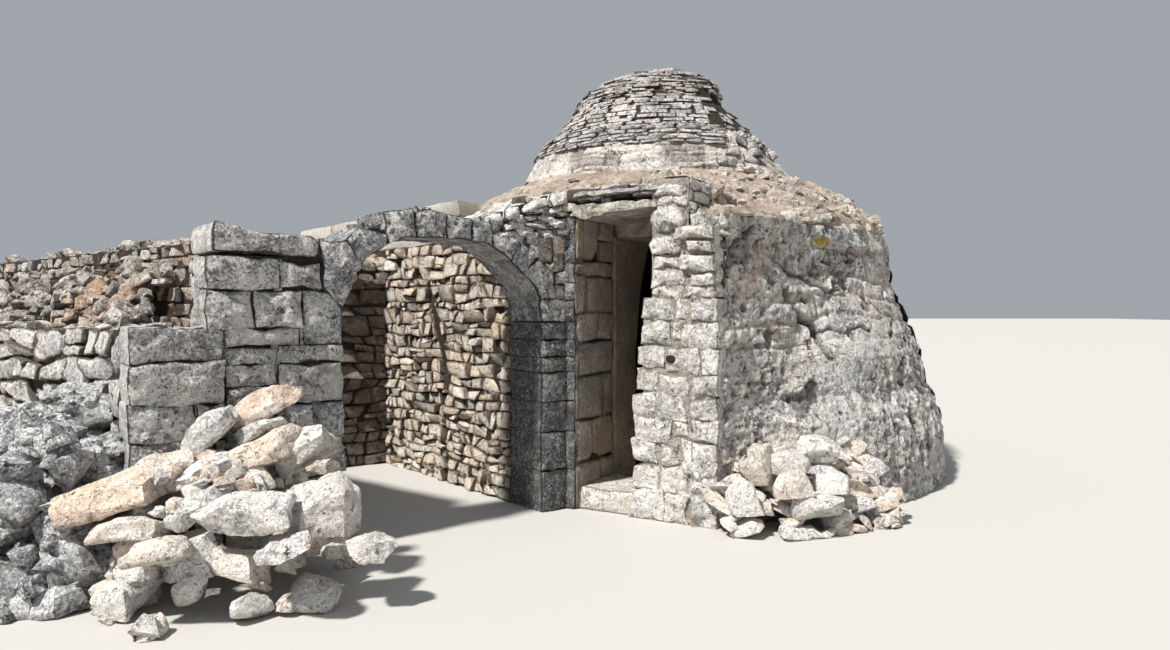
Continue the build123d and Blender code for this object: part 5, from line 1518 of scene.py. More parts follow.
# where each height's slabs end on the right, in pixels: dark hollows between the longer courses
ENDZ = [3.28, 3.32, 3.33, 3.46, 3.47, 3.52, 3.53, 3.60, 3.605, 3.635, 3.64, 3.735, 3.74, 3.80]
ENDX = [723, 722, 712, 711, 719, 717, 703, 704, 713, 711, 698, 700, 713, 712]
z = 3.285
step = 0
while z < 3.80:
    h = rng.uniform(0.018, 0.036) if z > 3.63 else rng.uniform(0.028, 0.052)
    r = float(np.interp(z, [p[1] for p in UPC], [p[0] for p in UPC]))
    # where this course ends at the broken side
    xe = float(np.interp(z + h / 2, ENDZ, ENDX)) + rng.uniform(-1.5, 1.5)
    lo, hi = math.radians(48 + rng.uniform(-4, 6)), ang_at(xe, z + h / 2, r + 0.02) + 2 * math.pi
    a = lo
    qs = []
    while a < hi:
        w = (rng.uniform(0.08, 0.32) if math.radians(160) < a < math.radians(300) else rng.uniform(0.22, 0.48)) / r
        b = min(a + w, hi)
        if hi - b < 0.08:
            b = hi
        dz = rng.normal(0, 0.003, 4)
        qs.append([(a, z + dz[0]), (b, z + dz[1]), (b, z + h + dz[2]), (a, z + h + dz[3])])
        a = b
    qs = np.array(qs)
    deg = (np.degrees(qs[:, 0, 0]) + 180) % 360 - 180
    for sel, nn in ((deg < -20, 3), (deg >= -20, 3)):
        lay(cu, rng, qs[sel], cone_surf(UPC), n=nn, out=(0.004, 0.040) if z > 3.63 else (0.012, 0.034), depth=0.16, gap=0.0, rough=0.010, e=(12, 18),
            chips=4, chip=(0.92, 1.15), tilt=0.0, bulge=0.0, freq=13, rfun=(None if z > 3.63 else (lambda a_, b_, r_: 0.42 + 0.34 * r_)))
    z += h
    step += 1
# recessed course below the overhang
qs = []
a = 0.0
while a < 2 * math.pi:
    w = rng.uniform(0.12, 0.3) / 1.1
    if not math.radians(295) < a < math.radians(408 if a > 5 else 48) and not a < math.radians(48):
        qs.append([(a, 3.235), (a + w, 3.235), (a + w, 3.285), (a, 3.285)])
    a += w
lay(cu, rng, np.array(qs), cone_surf([(1.175, 3.2), (1.175, 3.4)]), n=3, out=(-0.035, 0.03), depth=0.12, gap=0.004, rough=0.008, tilt=0, bulge=0)
# thicker slabs go on for a few courses below the gap
rlow = np.random.default_rng(733)
z = 3.112
while z < 3.262:
    h = rlow.uniform(0.030, 0.046)
    r = float(np.interp(z, [p[1] for p in LOWC], [p[0] for p in LOWC]))
    a, hi, qs = math.radians(-185 + rlow.uniform(-4, 4)), ang_at(726 + rlow.uniform(-4, 4), z + h / 2, r + 0.03), []
    while a < hi:
        b = min(a + rlow.uniform(0.11, 0.28) / r, hi)
        if hi - b < 0.06:
            b = hi
        dz = rlow.normal(0, 0.003, 4)
        qs.append([(a, z + dz[0]), (b, z + dz[1]), (b, z + h + dz[2]), (a, z + h + dz[3])])
        a = b
    lay(cu, rlow, np.array(qs), cone_surf(LOWC), n=-4, out=(0.030, 0.062), depth=0.11, gap=0.0, rough=0.010, e=(12, 18),
        chips=4, chip=(0.95, 1.2), tilt=0.0, bulge=0.0, freq=13, rfun=lambda a_, b_, r_: 0.45 + 0.35 * r_)
    z += h
# broken side: the slabs behind, shorter and more irregular
z = 3.26
while z < 3.78:
    h = rng.uniform(0.035, 0.085)
    r = float(np.interp(z, [p[1] for p in BARE], [p[0] for p in BARE]))
    a, qs = math.radians(-64), []
    while a < math.radians(50):
        w = rng.uniform(0.09, 0.24) / r
        dz = rng.normal(0, 0.006, 4)
        qs.append([(a, z + dz[0]), (a + w, z + dz[1]), (a + w, z + h + dz[2]), (a, z + h + dz[3])])
        a += w
    lay(cu, rng, np.array(qs), cone_surf(BARE), n=4, out=(-0.06, 0.055), depth=0.18, gap=0.003, rough=0.014, tilt=0.0, bulge=0.0, chips=7)
    z += h
# loose stones at the foot of the broken side
cen, siz = [], []
for k in range(46):
    a = math.radians(rng.uniform(-64, 25))
    l = rng.random()
    r = 1.06 + 0.33 * l
    z = 3.27 - 0.52 * l * rng.uniform(0.2, 0.6)
    r = float(np.interp(z, [p[1] for p in LOWB], [p[0] for p in LOWB])) + rng.uniform(-0.03, 0.02)
    h = rng.uniform(0.025, 0.055)
    cen.append([DC[0] + r * math.cos(a), DC[1] + r * math.sin(a), z + h * 0.3])
    siz.append((h * rng.uniform(1.0, 2.2), h * rng.uniform(1.0, 1.8), h))
rocks(cu, rng, np.array(cen), np.array(siz), n=5, rough=0.012)
def on_cone(x, y, prof):
    """Angle and height at which the line of sight meets a cone profile."""
    prof = np.asarray(prof, float)
    d_ = ray(x, y)
    p = np.array([0, 0, EYE]) + d_ * (np.linspace(6.8, 9.6, 1401) / d_[1])[:, None]
    gap_ = np.hypot(p[:, 0] - DC[0], p[:, 1] - DC[1]) - np.interp(p[:, 2], prof[:, 1], prof[:, 0])
    k_ = int(np.argmax(gap_ < 0)) if (gap_ < 0).any() else int(np.argmin(gap_))
    return math.atan2(p[k_, 1] - DC[1], p[k_, 0] - DC[0]), float(p[k_, 2])


def cone_face(profile, rref):
    base = cone_surf(profile)
    return lambda t, z, o: base(t / rref, z, o)


# single blocks at the broken edge, outlines in pixels
for px, prof, num, o in (
        ([(715, 157.5), (720, 154.5), (735.8, 158.6), (736.7, 164.2), (733.3, 167), (715.8, 163.6)], LOWC, .62, .045),
        ([(723.3, 153.6), (725, 149.2), (733.3, 145.4), (739, 150), (738, 156.7), (731.7, 155.8)], LOWC, .5, .05),
        ([(716, 166), (724, 165), (735, 169), (736, 176), (726, 179), (717, 175)], LOWC, .4, .03),
        ([(740, 154.2), (750, 156), (756, 163), (751.7, 166), (741.7, 161)], LOWB, .6, .05),
        ([(744, 167), (755, 165.8), (762, 170), (760.8, 174.2), (753, 170.3), (745, 169.4)], LOWB, .35, .04),
        ([(740.6, 175), (744.2, 169.8), (753.3, 170.8), (761.7, 175), (760.8, 181.7), (750, 180.8)], LOWB, .66, .055),
        ([(741.7, 184), (746.7, 181), (755, 182.5), (761, 186), (760, 190), (743.3, 189.5)], LOWB, .64, .05),
        ([(762.5, 184), (767.5, 178), (772.5, 180.8), (773, 187.5), (764.2, 188.6)], LOWB, .55, .05),
        ([(762, 176), (768, 172), (774, 176), (771, 179), (764, 180)], LOWB, .3, .04)):
    pts = []
    for x, y in px:
        a_, z_ = on_cone(x, y, prof)
        pts.append((a_ * 1.2, z_))
    block(cu, rng, pts, cone_face(prof, 1.2), out=o, depth=0.14, bevel=0.014, rough=0.012, N=36, rnd=num * 0.55, gap=0.002, bulge=0.014, pits=0.005, facet=1.3)
# ragged crown: the courses go on inwards in steps
TOPC = [(0.84, 3.74), (0.80, 3.80), (0.66, 3.90), (0.45, 3.99), (0.24, 4.06), (0.10, 4.11)]
z = 3.755
while z < 4.085:
    h = rng.uniform(0.026, 0.046)
    r = float(np.interp(z, [p[1] for p in TOPC], [p[0] for p in TOPC]))
    a, qs, ro = rng.uniform(0, 1), [], []
    end = a + 2 * math.pi
    while a < end - 0.02:
        w = min(rng.uniform(0.12, 0.30) / max(r, 0.12), end - a)
        dg = (math.degrees(a + w / 2) + 180) % 360 - 180
        rr = min(r, 0.615) if -64 < dg < 50 else r
        qs.append((a + w / 2, w * rr / 2, rr))
        a += w
    for am, hw, rr in qs:
        dep = min(0.16, rr * 0.7 + 0.02)
        rc = rr - dep + rng.uniform(-0.02, 0.02)
        c = [DC[0] + rc * math.cos(am), DC[1] + rc * math.sin(am), z + h / 2 + rng.normal(0, 0.004)]
        rocks(cu, rng, [c], np.array([[hw * 1.02 / 1.12, dep / 1.12, h / 2 * 1.05 / 1.12]]), n=3, yaw=[am + math.pi / 2], tilt=0.035, rough=0.008,
              e=(8, 14), chips=6, chip=(0.8, 1.1))
    z += h * 0.97
cu.build(CONE, ["cone_crown"], "roof_slabs")

# ================================================================ annex (H to J)
rng = np.random.default_rng(801)
ax = Piece("annex_wall_stones")
BACK = plane(sd(0, 2.77), AS, -AD)
RIGHT = plane(sd(0.243, 0), AD, AS)


# a crack runs down the right wall: its line, in the wall's plane
CRV = []
for x, y in ((433, 292), (436, 306), (439, 322), (442, 338), (446, 352), (448, 370), (449, 392)):
    p = hit(x, y, sd(0.243, 0), AS)
    CRV.append((float(p[2]), float(np.dot(p - AQ, AD))))
CRV = np.array(sorted(CRV))


def split_at_crack(quads):
    """Stones on either side of the crack are cut back from it."""
    z, t = quads[..., 1], quads[..., 0]
    inside = sstep(CRV[0, 0] - 0.03, CRV[0, 0] + 0.10, z) * sstep(CRV[-1, 0] + 0.04, CRV[-1, 0] - 0.08, z)
    mid = np.interp(z, CRV[:, 0], CRV[:, 1])
    half = inside * (0.060 + 0.022 * vnoise(np.stack([z, 0 * z, 0 * z], -1), 6.0, 163))
    side = np.sign(t.mean(1) - mid.mean(1))[:, None]
    out = quads.copy()
    out[..., 0] = np.where(side > 0, np.maximum(t, mid + half), np.minimum(t, mid - half))
    wide = out[..., 0].max(1) - out[..., 0].min(1)
    return out[wide > 0.035]


WALL = dict(depth=0.10, gap=0.003, rough=0.012, e=(12, 26), chips=6, chip=(1.02, 1.42), tilt=0.22, bulge=0.0, kar=0.008, lump=0.02)
shade = Piece("annex_back_stones")
q = mixed(rng, courses(rng, 2.22, 0.0, 1.90, (0.10, 0.18), (0.13, 0.32), t0=0.25, wav=0.35, slant=0.35), ph=0.35, pv=0.25, warp=0.018, seed=811)
q[..., 0] = np.maximum(q[..., 0], 0.245)
near = q[:, :, 0].mean(1) < 1.60
lay(shade, rng, q[near], BACK, n=-5, out=(0.010, 0.048), **WALL)
lay(shade, rng, q[~near], BACK, n=-3, out=(0.010, 0.040), **WALL)
shade.build(SHADE, (), "dry_rubble")
q = mixed(rng, courses(rng, 2.34, 0.0, 2.02, (0.075, 0.14), (0.08, 0.22), t0=0.43, wav=0.35, slant=0.35), ph=0.36, pv=0.28, warp=0.018, f=4.0, seed=821)
lay(ax, rng, split_at_crack(q), RIGHT, n=-5, out=(0.006, 0.052), **WALL)
lay(ax, rng, courses(rng, 2.22, 1.84, 2.08, (0.07, 0.13), (0.09, 0.22), t0=0.25, wav=0.5, slant=0.5, split=0.1), BACK, n=4, out=(0.0, 0.085), depth=0.22, rough=0.016, tilt=0.3, e=(6, 11), chips=8)
lay(ax, rng, mixed(rng, courses(rng, 2.34, 1.98, 2.20, (0.09, 0.13), (0.12, 0.24), t0=0.43, wav=0.3, slant=0.3), warp=0.01), RIGHT, n=-5, out=(0.004, 0.055), **WALL)
# loose upper stones of the back wall and its top
XT = lambda zz: (lambda t, z, o: np.asarray(sd(0, 0)) + t[..., None] * AS + z[..., None] * AD + (zz + o)[..., None] * UP)
lay(ax, rng, courses(rng, 2.25, 2.78, 3.26, (0.13, 0.2), (0.14, 0.28), t0=0.25), XT(2.06), n=4, out=(-0.01, 0.045), depth=0.14, rough=0.014)
cen, siz = [], []
for k in range(80):
    s_ = rng.uniform(0.28, 2.4)
    d_ = rng.uniform(2.80, 3.2)
    h = rng.uniform(0.03, 0.075)
    cen.append(sd(s_, d_, 2.06 + h * 0.5 + (0.06 if rng.random() < 0.3 else 0) + 0.06 * math.exp(-((s_ - 0.95) / 0.35) ** 2)))
    siz.append((h * rng.uniform(1.0, 2.0), h * rng.uniform(1.0, 1.6), h))
rocks(ax, rng, np.array(cen), np.array(siz), n=3, rough=0.014)
for x0, y0, x1, y1 in ((440, 247, 466, 262), (425, 252, 446, 266), (402, 257, 424, 270), (372, 256, 392, 270), (388, 248, 410, 262), (452, 252, 478, 268)):
    p = hit((x0 + x1) / 2, (y0 + y1) / 2, sd(0, 2.84), AD)
    k_ = np.linalg.norm(p[:2]) / FOC
    rocks(ax, rng, [p], np.array([[(x1 - x0) / 2 * k_, (x1 - x0) / 2.6 * k_, (y1 - y0) / 2 * k_]]), n=8, rough=0.014, rnd=[0.65])
# outer faces: the back and the side towards the drum
lay(ax, rng, courses(rng, 2.3, 0.0, 2.06, (0.16, 0.26), (0.2, 0.4), t0=0.25), plane(sd(0, 3.27), AS, AD), n=2, out=(0.002, 0.028), depth=0.2, gap=0.0005, e=(14, 20), chips=2, chip=(0.95, 1.2), bulge=0.03, tilt=0.05)
lay(ax, rng, courses(rng, 2.8, 0.0, 2.20, (0.16, 0.26), (0.2, 0.4), t0=0.46, keep=lambda t, z: t < 0.9 and z > 2.0 or t > 2.6), plane(sd(-0.16, 0), AD, -AS), n=2, out=(0.002, 0.028), depth=0.2, gap=0.0005, e=(14, 20), chips=2, chip=(0.95, 1.2), bulge=0.03, tilt=0.05)
lay(ax, rng, courses(rng, 1.42, 2.20, 2.36, (0.06, 0.1), (0.12, 0.25), t0=0.45, keep=lambda t, z: t < 1.32 and z < 2.38 - 0.0 * t), plane(sd(0.2, 0), AD, AS), n=4, out=(0.0, 0.04), depth=0.16)
lay(ax, rng, courses(rng, 0.38, 0.44, 1.33, (0.14, 0.22), (0.12, 0.2), t0=-0.16), XT(2.2), n=4, out=(0.0, 0.05), depth=0.14)
cen, siz = [], []
for k in range(70):
    s_, d_ = rng.uniform(-0.14, 0.22), rng.uniform(0.45, 1.35)
    h = rng.uniform(0.03, 0.06)
    cen.append(sd(s_, d_, 2.22 + h * 0.5 + rng.uniform(0, 0.14)))
    siz.append((h * rng.uniform(1.0, 2.0), h * rng.uniform(1.0, 1.7), h))
rocks(ax, rng, np.array(cen), np.array(siz), n=3, rough=0.012)
ax.build(ANNEX, (), "dry_rubble")
rng = np.random.default_rng(841)
rear = Piece("rear_wall_stones")
HID = dict(depth=0.2, gap=0.0005, e=(14, 20), chips=2, chip=(0.95, 1.2), bulge=0.03, tilt=0.05)
lay(rear, rng, courses(rng, 2.08, 0.0, 2.43, (0.13, 0.22), (0.16, 0.34), t0=3.27, wav=0.35, slant=0.3), RIGHT, n=2, out=(0.002, 0.030), **HID)
lay(rear, rng, courses(rng, 2.08, 0.0, 2.43, (0.13, 0.22), (0.16, 0.34), t0=3.27, wav=0.35, slant=0.3), plane(sd(-0.16, 0), AD, -AS), n=2, out=(0.002, 0.030), **HID)
lay(rear, rng, courses(rng, 0.40, 0.0, 2.43, (0.15, 0.24), (0.16, 0.26), t0=-0.16), plane(sd(0, 5.35), AS, AD), n=3, out=(0.002, 0.03), **HID)
rear.build(ANNEX, (), "dry_rubble")

# parapet and its coping: smooth, pale, sharp edged
rng = np.random.default_rng(861)
par = Piece("parapet_stones")
for a, b in ((1.32, 2.30), (2.305, 3.27)):
    block(par, rng, [(a, 2.20), ((a + b) / 2, 2.20), (b, 2.20), (b, 2.43), ((a + b) / 2, 2.43), (a, 2.43)], plane(sd(0.243, 0), AD, AS), out=0.0,
          depth=0.183, bevel=0.012, rough=0.005, N=60, gap=0.002, bulge=0.002, freq=5)
for a, b in ((1.32, 2.32), (2.325, 3.33), (3.335, 4.34), (4.345, 5.35)):
    block(par, rng, [(a, 2.432), ((a + b) / 2, 2.432), (b, 2.432), (b, 2.568), ((a + b) / 2, 2.568), (a, 2.568)], plane(sd(0.258, 0), AD, AS), out=0.0,
          depth=0.213, bevel=0.012, rough=0.004, N=60, gap=0.001, bulge=0.002, freq=5)
par.build(SMOOTH, ["parapet_wall", "parapet_coping"], "parapet_stone")

# ================================================================ left wall (E to G)
rng = np.random.default_rng(901)
lw = Piece("left_wall_stones")


def wall_plane(p0, p1, side):
    t = unit(p1 - p0)
    n = np.array([t[1], -t[0], 0.0]) * side
    return plane(p0, t, n), float(np.linalg.norm(p1 - p0))


OUTER, LO = wall_plane(sd(3.11, 0.55), sd(4.0, 4.6), -1)
if np.dot(OUTER(np.zeros(1), np.zeros(1), np.ones(1))[0] - sd(3.11, 0.55), AS) < 0:
    OUTER, LO = wall_plane(sd(3.11, 0.55), sd(4.0, 4.6), 1)
INNER, LI = wall_plane(sd(1.94, 0.55), sd(2.85, 4.6), -1)
if np.dot(INNER(np.zeros(1), np.zeros(1), np.ones(1))[0] - sd(1.94, 0.55), AS) > 0:
    INNER, LI = wall_plane(sd(1.94, 0.55), sd(2.85, 4.6), 1)
MIDW, LM = wall_plane(sd(2.60, 0.55), sd(3.45, 4.6), -1)
if np.dot(MIDW(np.zeros(1), np.zeros(1), np.ones(1))[0] - sd(2.60, 0.55), AS) < 0:
    MIDW, LM = wall_plane(sd(2.60, 0.55), sd(3.45, 4.6), 1)
leaf = Piece("outer_leaf_stones")
q = mixed(rng, courses(rng, LO, 0.0, 1.46, (0.14, 0.25), (0.20, 0.46), wav=0.5, slant=0.45), ph=0.40, pv=0.22, warp=0.030, f=2.4, seed=911)
q[..., 1] = np.clip(q[..., 1], 0.0, 1.47)
near = q[:, :, 0].mean(1) < 2.0
LEAFW = dict(depth=0.14, gap=0.004, rough=0.020, e=(11, 20), chips=6, chip=(1.0, 1.38), tilt=0.20, bulge=0.02, kar=0.018, lump=0.03)
lay(leaf, rng, q[near], OUTER, n=-8, out=(0.012, 0.062), **LEAFW)
lay(leaf, rng, q[~near], OUTER, n=-4, out=(0.012, 0.050), **LEAFW)
lay(lw, rng, courses(rng, LI, 0.0, 2.03, (0.10, 0.18), (0.14, 0.28), wav=0.35, slant=0.3, split=0.1), INNER, n=2, out=(0.002, 0.03), depth=0.2, rough=0.012, gap=0.0005, e=(14, 20), chips=2, chip=(0.95, 1.2), bulge=0.03, tilt=0.05)
lay(lw, rng, courses(rng, LM, 1.45, 2.03, (0.07, 0.12), (0.10, 0.20), wav=0.4, slant=0.35, split=0.1), MIDW, n=3, out=(0.004, 0.04), depth=0.2, rough=0.014, tilt=0.18)
# bench between the leaves, and the far end
def between(pa, pb, pc, pd, zz):
    def surf(t, z, o):
        p = (1 - t)[..., None] * ((1 - z)[..., None] * pa + z[..., None] * pd) + t[..., None] * ((1 - z)[..., None] * pb + z[..., None] * pc)
        return p + (zz + o)[..., None] * UP
    return surf


def unit_cells(rng, nt, nz, jit=0.25):
    tt = np.linspace(0, 1, nt + 1)
    zz = np.linspace(0, 1, nz + 1)
    G = np.stack(np.meshgrid(tt, zz), -1)
    G[1:-1, 1:-1] += rng.uniform(-jit, jit, G[1:-1, 1:-1].shape) * np.array([1 / nt, 1 / nz])
    G[0, 1:-1, 0] += rng.uniform(-jit, jit, nt - 1) / nt
    G[-1, 1:-1, 0] += rng.uniform(-jit, jit, nt - 1) / nt
    return np.stack([G[:-1, :-1], G[:-1, 1:], G[1:, 1:], G[1:, :-1]], -2).reshape(-1, 4, 2)


lay(leaf, rng, unit_cells(rng, 18, 3), between(sd(2.60, .55), sd(3.45, 4.6), sd(4.0, 4.6), sd(3.11, .55), 1.45), n=4, out=(-0.01, 0.045), depth=0.16, rough=0.018, tilt=0.2)
lay(lw, rng, unit_cells(rng, 26, 5), between(sd(1.94, .55), sd(2.85, 4.6), sd(3.45, 4.6), sd(2.60, .55), 2.03), n=3, out=(-0.01, 0.04), depth=0.14, rough=0.014, tilt=0.2)
END, LE = wall_plane(sd(4.0, 4.6), sd(2.85, 4.6), 1)
if np.dot(END(np.zeros(1), np.zeros(1), np.ones(1))[0] - sd(4.0, 4.6), AD) < 0:
    END, LE = wall_plane(sd(4.0, 4.6), sd(2.85, 4.6), -1)
lay(lw, rng, courses(rng, LE, 0.0, 2.03, (0.12, 0.2), (0.15, 0.3), keep=lambda t, z: z < 1.45 or t > 0.56), END, n=4, out=(0.005, 0.03), depth=0.2)
# rubble slope on the bench, small stones and a row on the top
cen, siz = [], []
for k in range(220):
    f = rng.random() ** 1.3
    g = rng.random()
    p = sd(2.64, 0.72) * (1 - f) + sd(3.40, 4.35) * f
    q_ = sd(3.02, 0.66) * (1 - f) + sd(3.76, 4.30) * f
    h = rng.uniform(0.020, 0.046) * (1.7 if rng.random() < 0.12 else 1)
    c = p * (1 - g) + q_ * g
    zc = 1.93 * (1 - g) + 1.46 * g
    cen.append(c + UP * (zc + h * 0.2 - 0.02))
    siz.append((h * rng.uniform(1.0, 1.9), h * rng.uniform(1.0, 1.6), h))
for k in range(66):
    f, g = rng.random(), rng.random()
    p = sd(1.98, 0.60) * (1 - f) + sd(2.88, 4.5) * f
    q_ = sd(2.56, 0.60) * (1 - f) + sd(3.40, 4.5) * f
    h = rng.uniform(0.025, 0.055)
    cen.append(p * (1 - g) + q_ * g + UP * (2.04 + h * 0.4))
    siz.append((h * rng.uniform(1.0, 2.0), h * rng.uniform(1.0, 1.6), h))
rocks(lw, rng, np.array(cen), np.array(siz), n=3, rough=0.012)
leaf.build(LEAF, (), "dry_rubble")
lw.build(RUBBLE, ["left_wall_rubble_core"], "dry_rubble")

# ================================================================ fallen stones (Y, Z)
rng = np.random.default_rng(1001)
heap = Piece("fallen_pier_stones")
BASE1 = [(-2.64, 4.80), (-2.56, 4.35), (-2.10, 4.05), (-1.48, 4.35), (-1.20, 4.90), (-1.45, 5.50), (-1.70, 5.70), (-2.60, 4.99)]
TOP1 = [(-2.50, 4.83), (-2.40, 4.64), (-2.15, 4.56), (-1.90, 4.72), (-1.80, 4.99), (-1.84, 5.20), (-1.95, 5.30), (-2.45, 4.93)]
BASE2 = [(-2.60, 4.90), (-2.66, 4.40), (-3.30, 4.23), (-3.95, 4.65), (-4.30, 5.50), (-4.25, 6.20), (-4.10, 6.50), (-2.90, 5.40)]
TOP2 = [(-2.78, 4.90), (-2.83, 4.64), (-3.18, 4.52), (-3.56, 4.80), (-3.85, 5.40), (-3.95, 5.90), (-3.90, 6.20), (-2.95, 5.30)]


def heap_fill(piece, base, top, h, count, smin, smax, edges, n=6, flatness=(0.5, 0.95), rough=0.016):
    base, top = np.array(base), np.array(top)
    cen, siz = [], []
    for _ in range(count):
        i = int(rng.choice(edges))
        j = (i + 1) % len(base)
        f, g = rng.random(), rng.random()
        b = base[i] * (1 - f) + base[j] * f
        t = top[i] * (1 - f) + top[j] * f
        if rng.random() < 0.28:
            c = t * (1 - g) + top.mean(0) * g
            z = h
        else:
            c = b * (1 - g) + t * g
            z = h * g
        s = rng.uniform(smin, smax) * (1.35 - 0.5 * g)
        hz = s * rng.uniform(*flatness)
        inward = unit(np.append(top.mean(0) - c, 0.0)) * s * 0.55
        cen.append(np.array([c[0], c[1], max(hz * 0.6, z - hz * 0.45)]) + inward)
        siz.append((s * rng.uniform(0.8, 1.35), s * rng.uniform(0.7, 1.1), hz))
    rocks(piece, rng, np.array(cen), np.array(siz), n=n, rough=rough, tilt=0.35)


def big(piece, x0, y0, x1, y1, Y, yaw=0.0, dep=0.8, num=None, n=14, e=(8.0, 13.0), rough=0.018, chips=13, chip=(0.55, 0.88)):
    xm, ym = (x0 + x1) / 2, (y0 + y1) / 2
    d_ = ray(xm, ym)
    c = np.array([0, 0, EYE]) + d_ * Y / d_[1]
    hw, hh = (x1 - x0) / 2 / FOC * Y, (y1 - y0) / 2 / FOC * Y
    rocks(piece, rng, [c], np.array([[hw * 1.05, hw * dep, hh * 1.05]]), n=n, yaw=[yaw], tilt=0.10, e=e, rough=rough,
          rnd=None if num is None else [num], chips=chips, chip=chip)


def slab(piece, xa, ya, xb, yb, thick, Y, dep=0.7, num=None, n=14, lean=0.0, turn=0.0, e=(9.0, 14.0), rough=0.022, chips=14, chip=(0.62, 0.95), pits=0.0):
    """A fallen stone whose long axis runs from one pixel to another, thick pixels high, Y metres away."""
    k = Y / FOC
    half = math.hypot(xb - xa, yb - ya) / 2 * k
    ht = thick / 2 * k
    d_ = ray((xa + xb) / 2, (ya + yb) / 2)
    c = np.array([0, 0, EYE]) + d_ * Y / d_[1]
    ang = math.atan2(-(yb - ya), xb - xa)
    P, F, off = blanks(rng, 1, n, e, chips, chip, 0.05)
    V = P[0] * np.array([half, half * dep if half * dep > ht else ht, ht]) * 1.07
    ca, sa = math.cos(lean), math.sin(lean)
    V = np.stack([V[:, 0], ca * V[:, 1] - sa * V[:, 2], sa * V[:, 1] + ca * V[:, 2]], -1)
    ca, sa = math.cos(turn), math.sin(turn)
    V = np.stack([ca * V[:, 0] - sa * V[:, 1], sa * V[:, 0] + ca * V[:, 1], V[:, 2]], -1)
    ca, sa = math.cos(ang), math.sin(ang)
    V = np.stack([ca * V[:, 0] - sa * V[:, 2], V[:, 1], sa * V[:, 0] + ca * V[:, 2]], -1)
    r_ = V / np.maximum(1e-6, np.linalg.norm(V, axis=1, keepdims=True))
    V = V + c
    w = V + off[0]
    V = V + rough * np.stack([fbm(w, 5.0, 5, q, 0.66) for q in (5, 6, 7)], -1)
    kt = 0.6 * karst(w, 6.0, 33) + 0.6 * karst(w, 12.0, 34)
    V = V + r_ * (rough * 1.1 * kt)[:, None]
    # painted shade in the karst hollows and pits
    hollow_shade = 0.6 * sstep(-0.75, -1.15, kt) * min(1.0, 0.35 + pits * 20)
    if pits:
        d1, _ = worley(w, 10.0, 21)
        hole = sstep(0.40, 0.15, d1) * sstep(-0.1, 0.35, vnoise(w, 4.0, 24))
        V = V - r_ * (pits * hole)[:, None]
        hollow_shade = np.maximum(hollow_shade, 0.75 * hole)
    V[:, 2] = np.maximum(V[:, 2], 0.004 + 0.01 * np.abs(vnoise(w, 9.0, 44)))
    piece.add(V, F, rng.random() if num is None else num, sstep(0.2, -0.9, P[0, :, 2]) * 0.7, hollow_shade)


slab(heap, 64, 504, 174, 476, 36, 4.60, dep=0.55, num=0.02, n=18, lean=0.15)
slab(heap, 92, 528, 170, 522, 24, 4.50, dep=0.8, num=0.25, n=10)
slab(heap, 176, 458, 232, 408, 30, 4.95, dep=0.55, num=0.85, n=18, lean=0.2)
slab(heap, 234, 418, 298, 386, 27, 5.08, dep=0.55, num=0.04, n=18, lean=0.15)
slab(heap, 234, 440, 284, 416, 20, 4.98, dep=0.6, num=0.95)
slab(heap, 222, 470, 312, 426, 34, 4.88, dep=0.5, num=0.10, n=18, lean=0.2)
slab(heap, 276, 462, 334, 434, 40, 4.95, dep=0.8, num=0.62, n=18)
slab(heap, 214, 492, 264, 478, 22, 4.75, dep=0.8, num=0.08, n=10)
slab(heap, 192, 520, 290, 504, 40, 4.38, dep=0.6, num=0.66, n=18, lean=0.1)
slab(heap, 286, 500, 360, 502, 60, 4.62, dep=0.8, num=0.60, n=18, turn=0.3)
slab(heap, 304, 470, 338, 462, 20, 4.85, dep=0.8, num=0.2, n=10)
slab(heap, 346, 548, 400, 542, 28, 4.52, dep=0.8, num=0.68)
slab(heap, 130, 552, 196, 540, 24, 4.25, dep=0.8, num=0.35, n=10)
slab(heap, 256, 556, 312, 540, 26, 4.30, dep=0.9, num=0.9, n=10)
slab(heap, 150, 488, 200, 470, 24, 4.75, dep=0.9, num=0.7, n=10)
heap_fill(heap, BASE1, TOP1, 0.72, 88, 0.05, 0.12, [0, 1, 2, 3, 4], n=5, rough=0.018)
heap_fill(heap, BASE1, TOP1, 0.72, 56, 0.03, 0.06, [0, 1, 2, 3, 4], n=3)
heap.build(FRESH, ["fallen_rubble_pier"], "fallen_stone")

rng = np.random.default_rng(1031)
bl = Piece("fallen_boulders")
ROUGH = dict(e=(4.5, 7.0), rough=0.045, chips=10, chip=(0.66, 0.98), pits=0.03)
slab(bl, 36, 410, 122, 402, 50, 5.30, dep=0.7, num=0.3, n=18, **ROUGH)
slab(bl, -12, 432, 74, 420, 58, 5.10, dep=0.7, num=0.6, n=18, **ROUGH)
slab(bl, -26, 500, 66, 492, 66, 4.86, dep=0.6, num=0.4, n=18, **ROUGH)
slab(bl, 70, 452, 128, 442, 30, 5.02, dep=0.8, num=0.8, **ROUGH)
slab(bl, 52, 476, 86, 446, 24, 4.98, dep=0.9, num=0.5, **ROUGH)
slab(bl, 84, 470, 118, 458, 18, 4.95, dep=0.9, num=0.9, **ROUGH)
slab(bl, 0, 466, 40, 452, 24, 5.00, dep=0.9, num=0.2, **ROUGH)
slab(bl, -30, 545, 40, 540, 30, 4.70, dep=0.9, num=0.7, **ROUGH)
slab(bl, 36, 540, 84, 528, 22, 4.62, dep=0.9, num=0.45, **ROUGH)
heap_fill(bl, BASE2, TOP2, 0.86, 105, 0.07, 0.145, [0, 1, 2, 3, 4, 5, 6, 7], n=4, flatness=(0.6, 0.95), rough=0.030)
heap_fill(bl, BASE2, TOP2, 0.90, 60, 0.05, 0.09, [0, 1, 2, 3, 4], n=3)
bl.build(BOULD, ["fallen_boulders_left"], "fallen_stone")

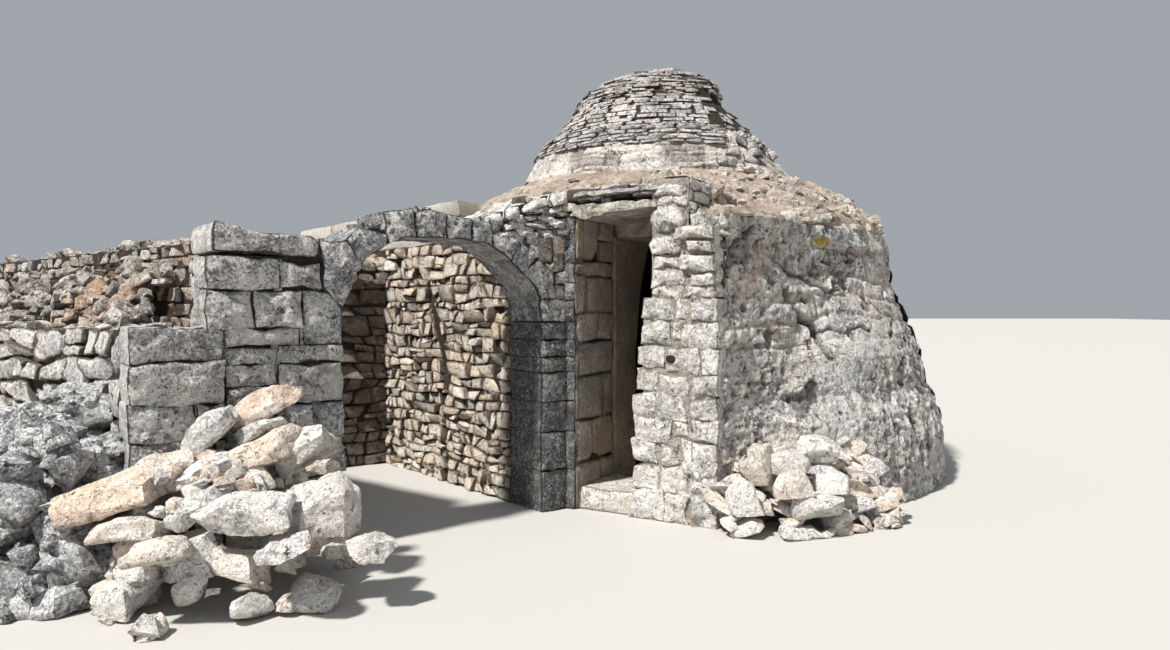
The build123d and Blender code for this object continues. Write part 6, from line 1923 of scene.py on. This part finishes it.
rng = np.random.default_rng(1061)
dh = Piece("fallen_drum_stones")
cen, siz = [], []
for k in range(110):
    a = math.radians(rng.uniform(-87, -61))
    g = rng.random()
    r = 3.30 - 0.62 * g
    z = 0.62 * g
    s = rng.uniform(0.045, 0.12)
    h = s * rng.uniform(0.30, 0.65)
    cen.append([DC[0] + (r - s * 0.4) * math.cos(a), DC[1] + (r - s * 0.4) * math.sin(a), max(h * 0.5, z - h * 0.3)])
    siz.append((s * rng.uniform(0.9, 1.5), s * rng.uniform(0.8, 1.1), h))
rocks(dh, rng, np.array(cen), np.array(siz), n=4, rough=0.014)
for x0, y0, x1, y1, Y in ((742, 440, 776, 480, 6.15), (770, 452, 806, 470, 6.1), (800, 436, 838, 462, 6.3), (776, 470, 812, 496, 5.98), (812, 465, 846, 492, 6.15), (730, 478, 760, 512, 5.95), (790, 494, 836, 516, 5.95)):
    big(dh, x0, y0, x1, y1, Y, yaw=rng.uniform(-.5, .5), dep=0.8, n=8)
dh.build(FRESH, ["fallen_rubble_drum"], "fallen_stone")

# ================================================================ camera, light, floor
cam_data = bpy.data.cameras.new("camera")
cam_data.lens = FOC / 1170.0 * 36.0
cam_data.sensor_width = 36.0
cam = bpy.data.objects.new("camera", cam_data)
bpy.context.scene.collection.objects.link(cam)
cam.location = (-OX, -OY, EYE)
cam.rotation_euler = (math.radians(90) - PITCH, 0, 0)
bpy.context.scene.camera = cam

floor_me = bpy.data.meshes.new("floor")
floor_me.from_pydata([(-80, -80, -0.002), (80, -80, -0.002), (80, 120, -0.002), (-80, 120, -0.002)], [], [(0, 1, 2, 3)])
floor = bpy.data.objects.new("floor", floor_me)
bpy.context.scene.collection.objects.link(floor)
fm = bpy.data.materials.new("floor_plain")
fm.use_nodes = True
fb = fm.node_tree.nodes["Principled BSDF"]
fb.inputs["Base Color"].default_value = (0.50, 0.49, 0.47, 1)
fb.inputs["Roughness"].default_value = 0.9
floor_me.materials.append(fm)

world = bpy.data.worlds.new("studio")
world.use_nodes = True
bg = world.node_tree.nodes["Background"]
bg.inputs[0].default_value = (0.80, 0.86, 0.93, 1)
bg.inputs[1].default_value = 0.44
bpy.context.scene.world = world
sun = bpy.data.lights.new("key", "SUN")
sun.energy = 5.6
sun.angle = math.radians(4.0)
sun.color = (1.0, 0.965, 0.91)
so = bpy.data.objects.new("key", sun)
bpy.context.scene.collection.objects.link(so)
# light comes from the left, high, a little in front
lx, ly, lz = -0.70, -0.64, 1.36
from mathutils import Vector
so.rotation_euler = Vector((lx, ly, lz)).to_track_quat("Z", "Y").to_euler()

bpy.context.scene.view_settings.view_transform = "Standard"
bpy.context.scene.view_settings.exposure = 0.0
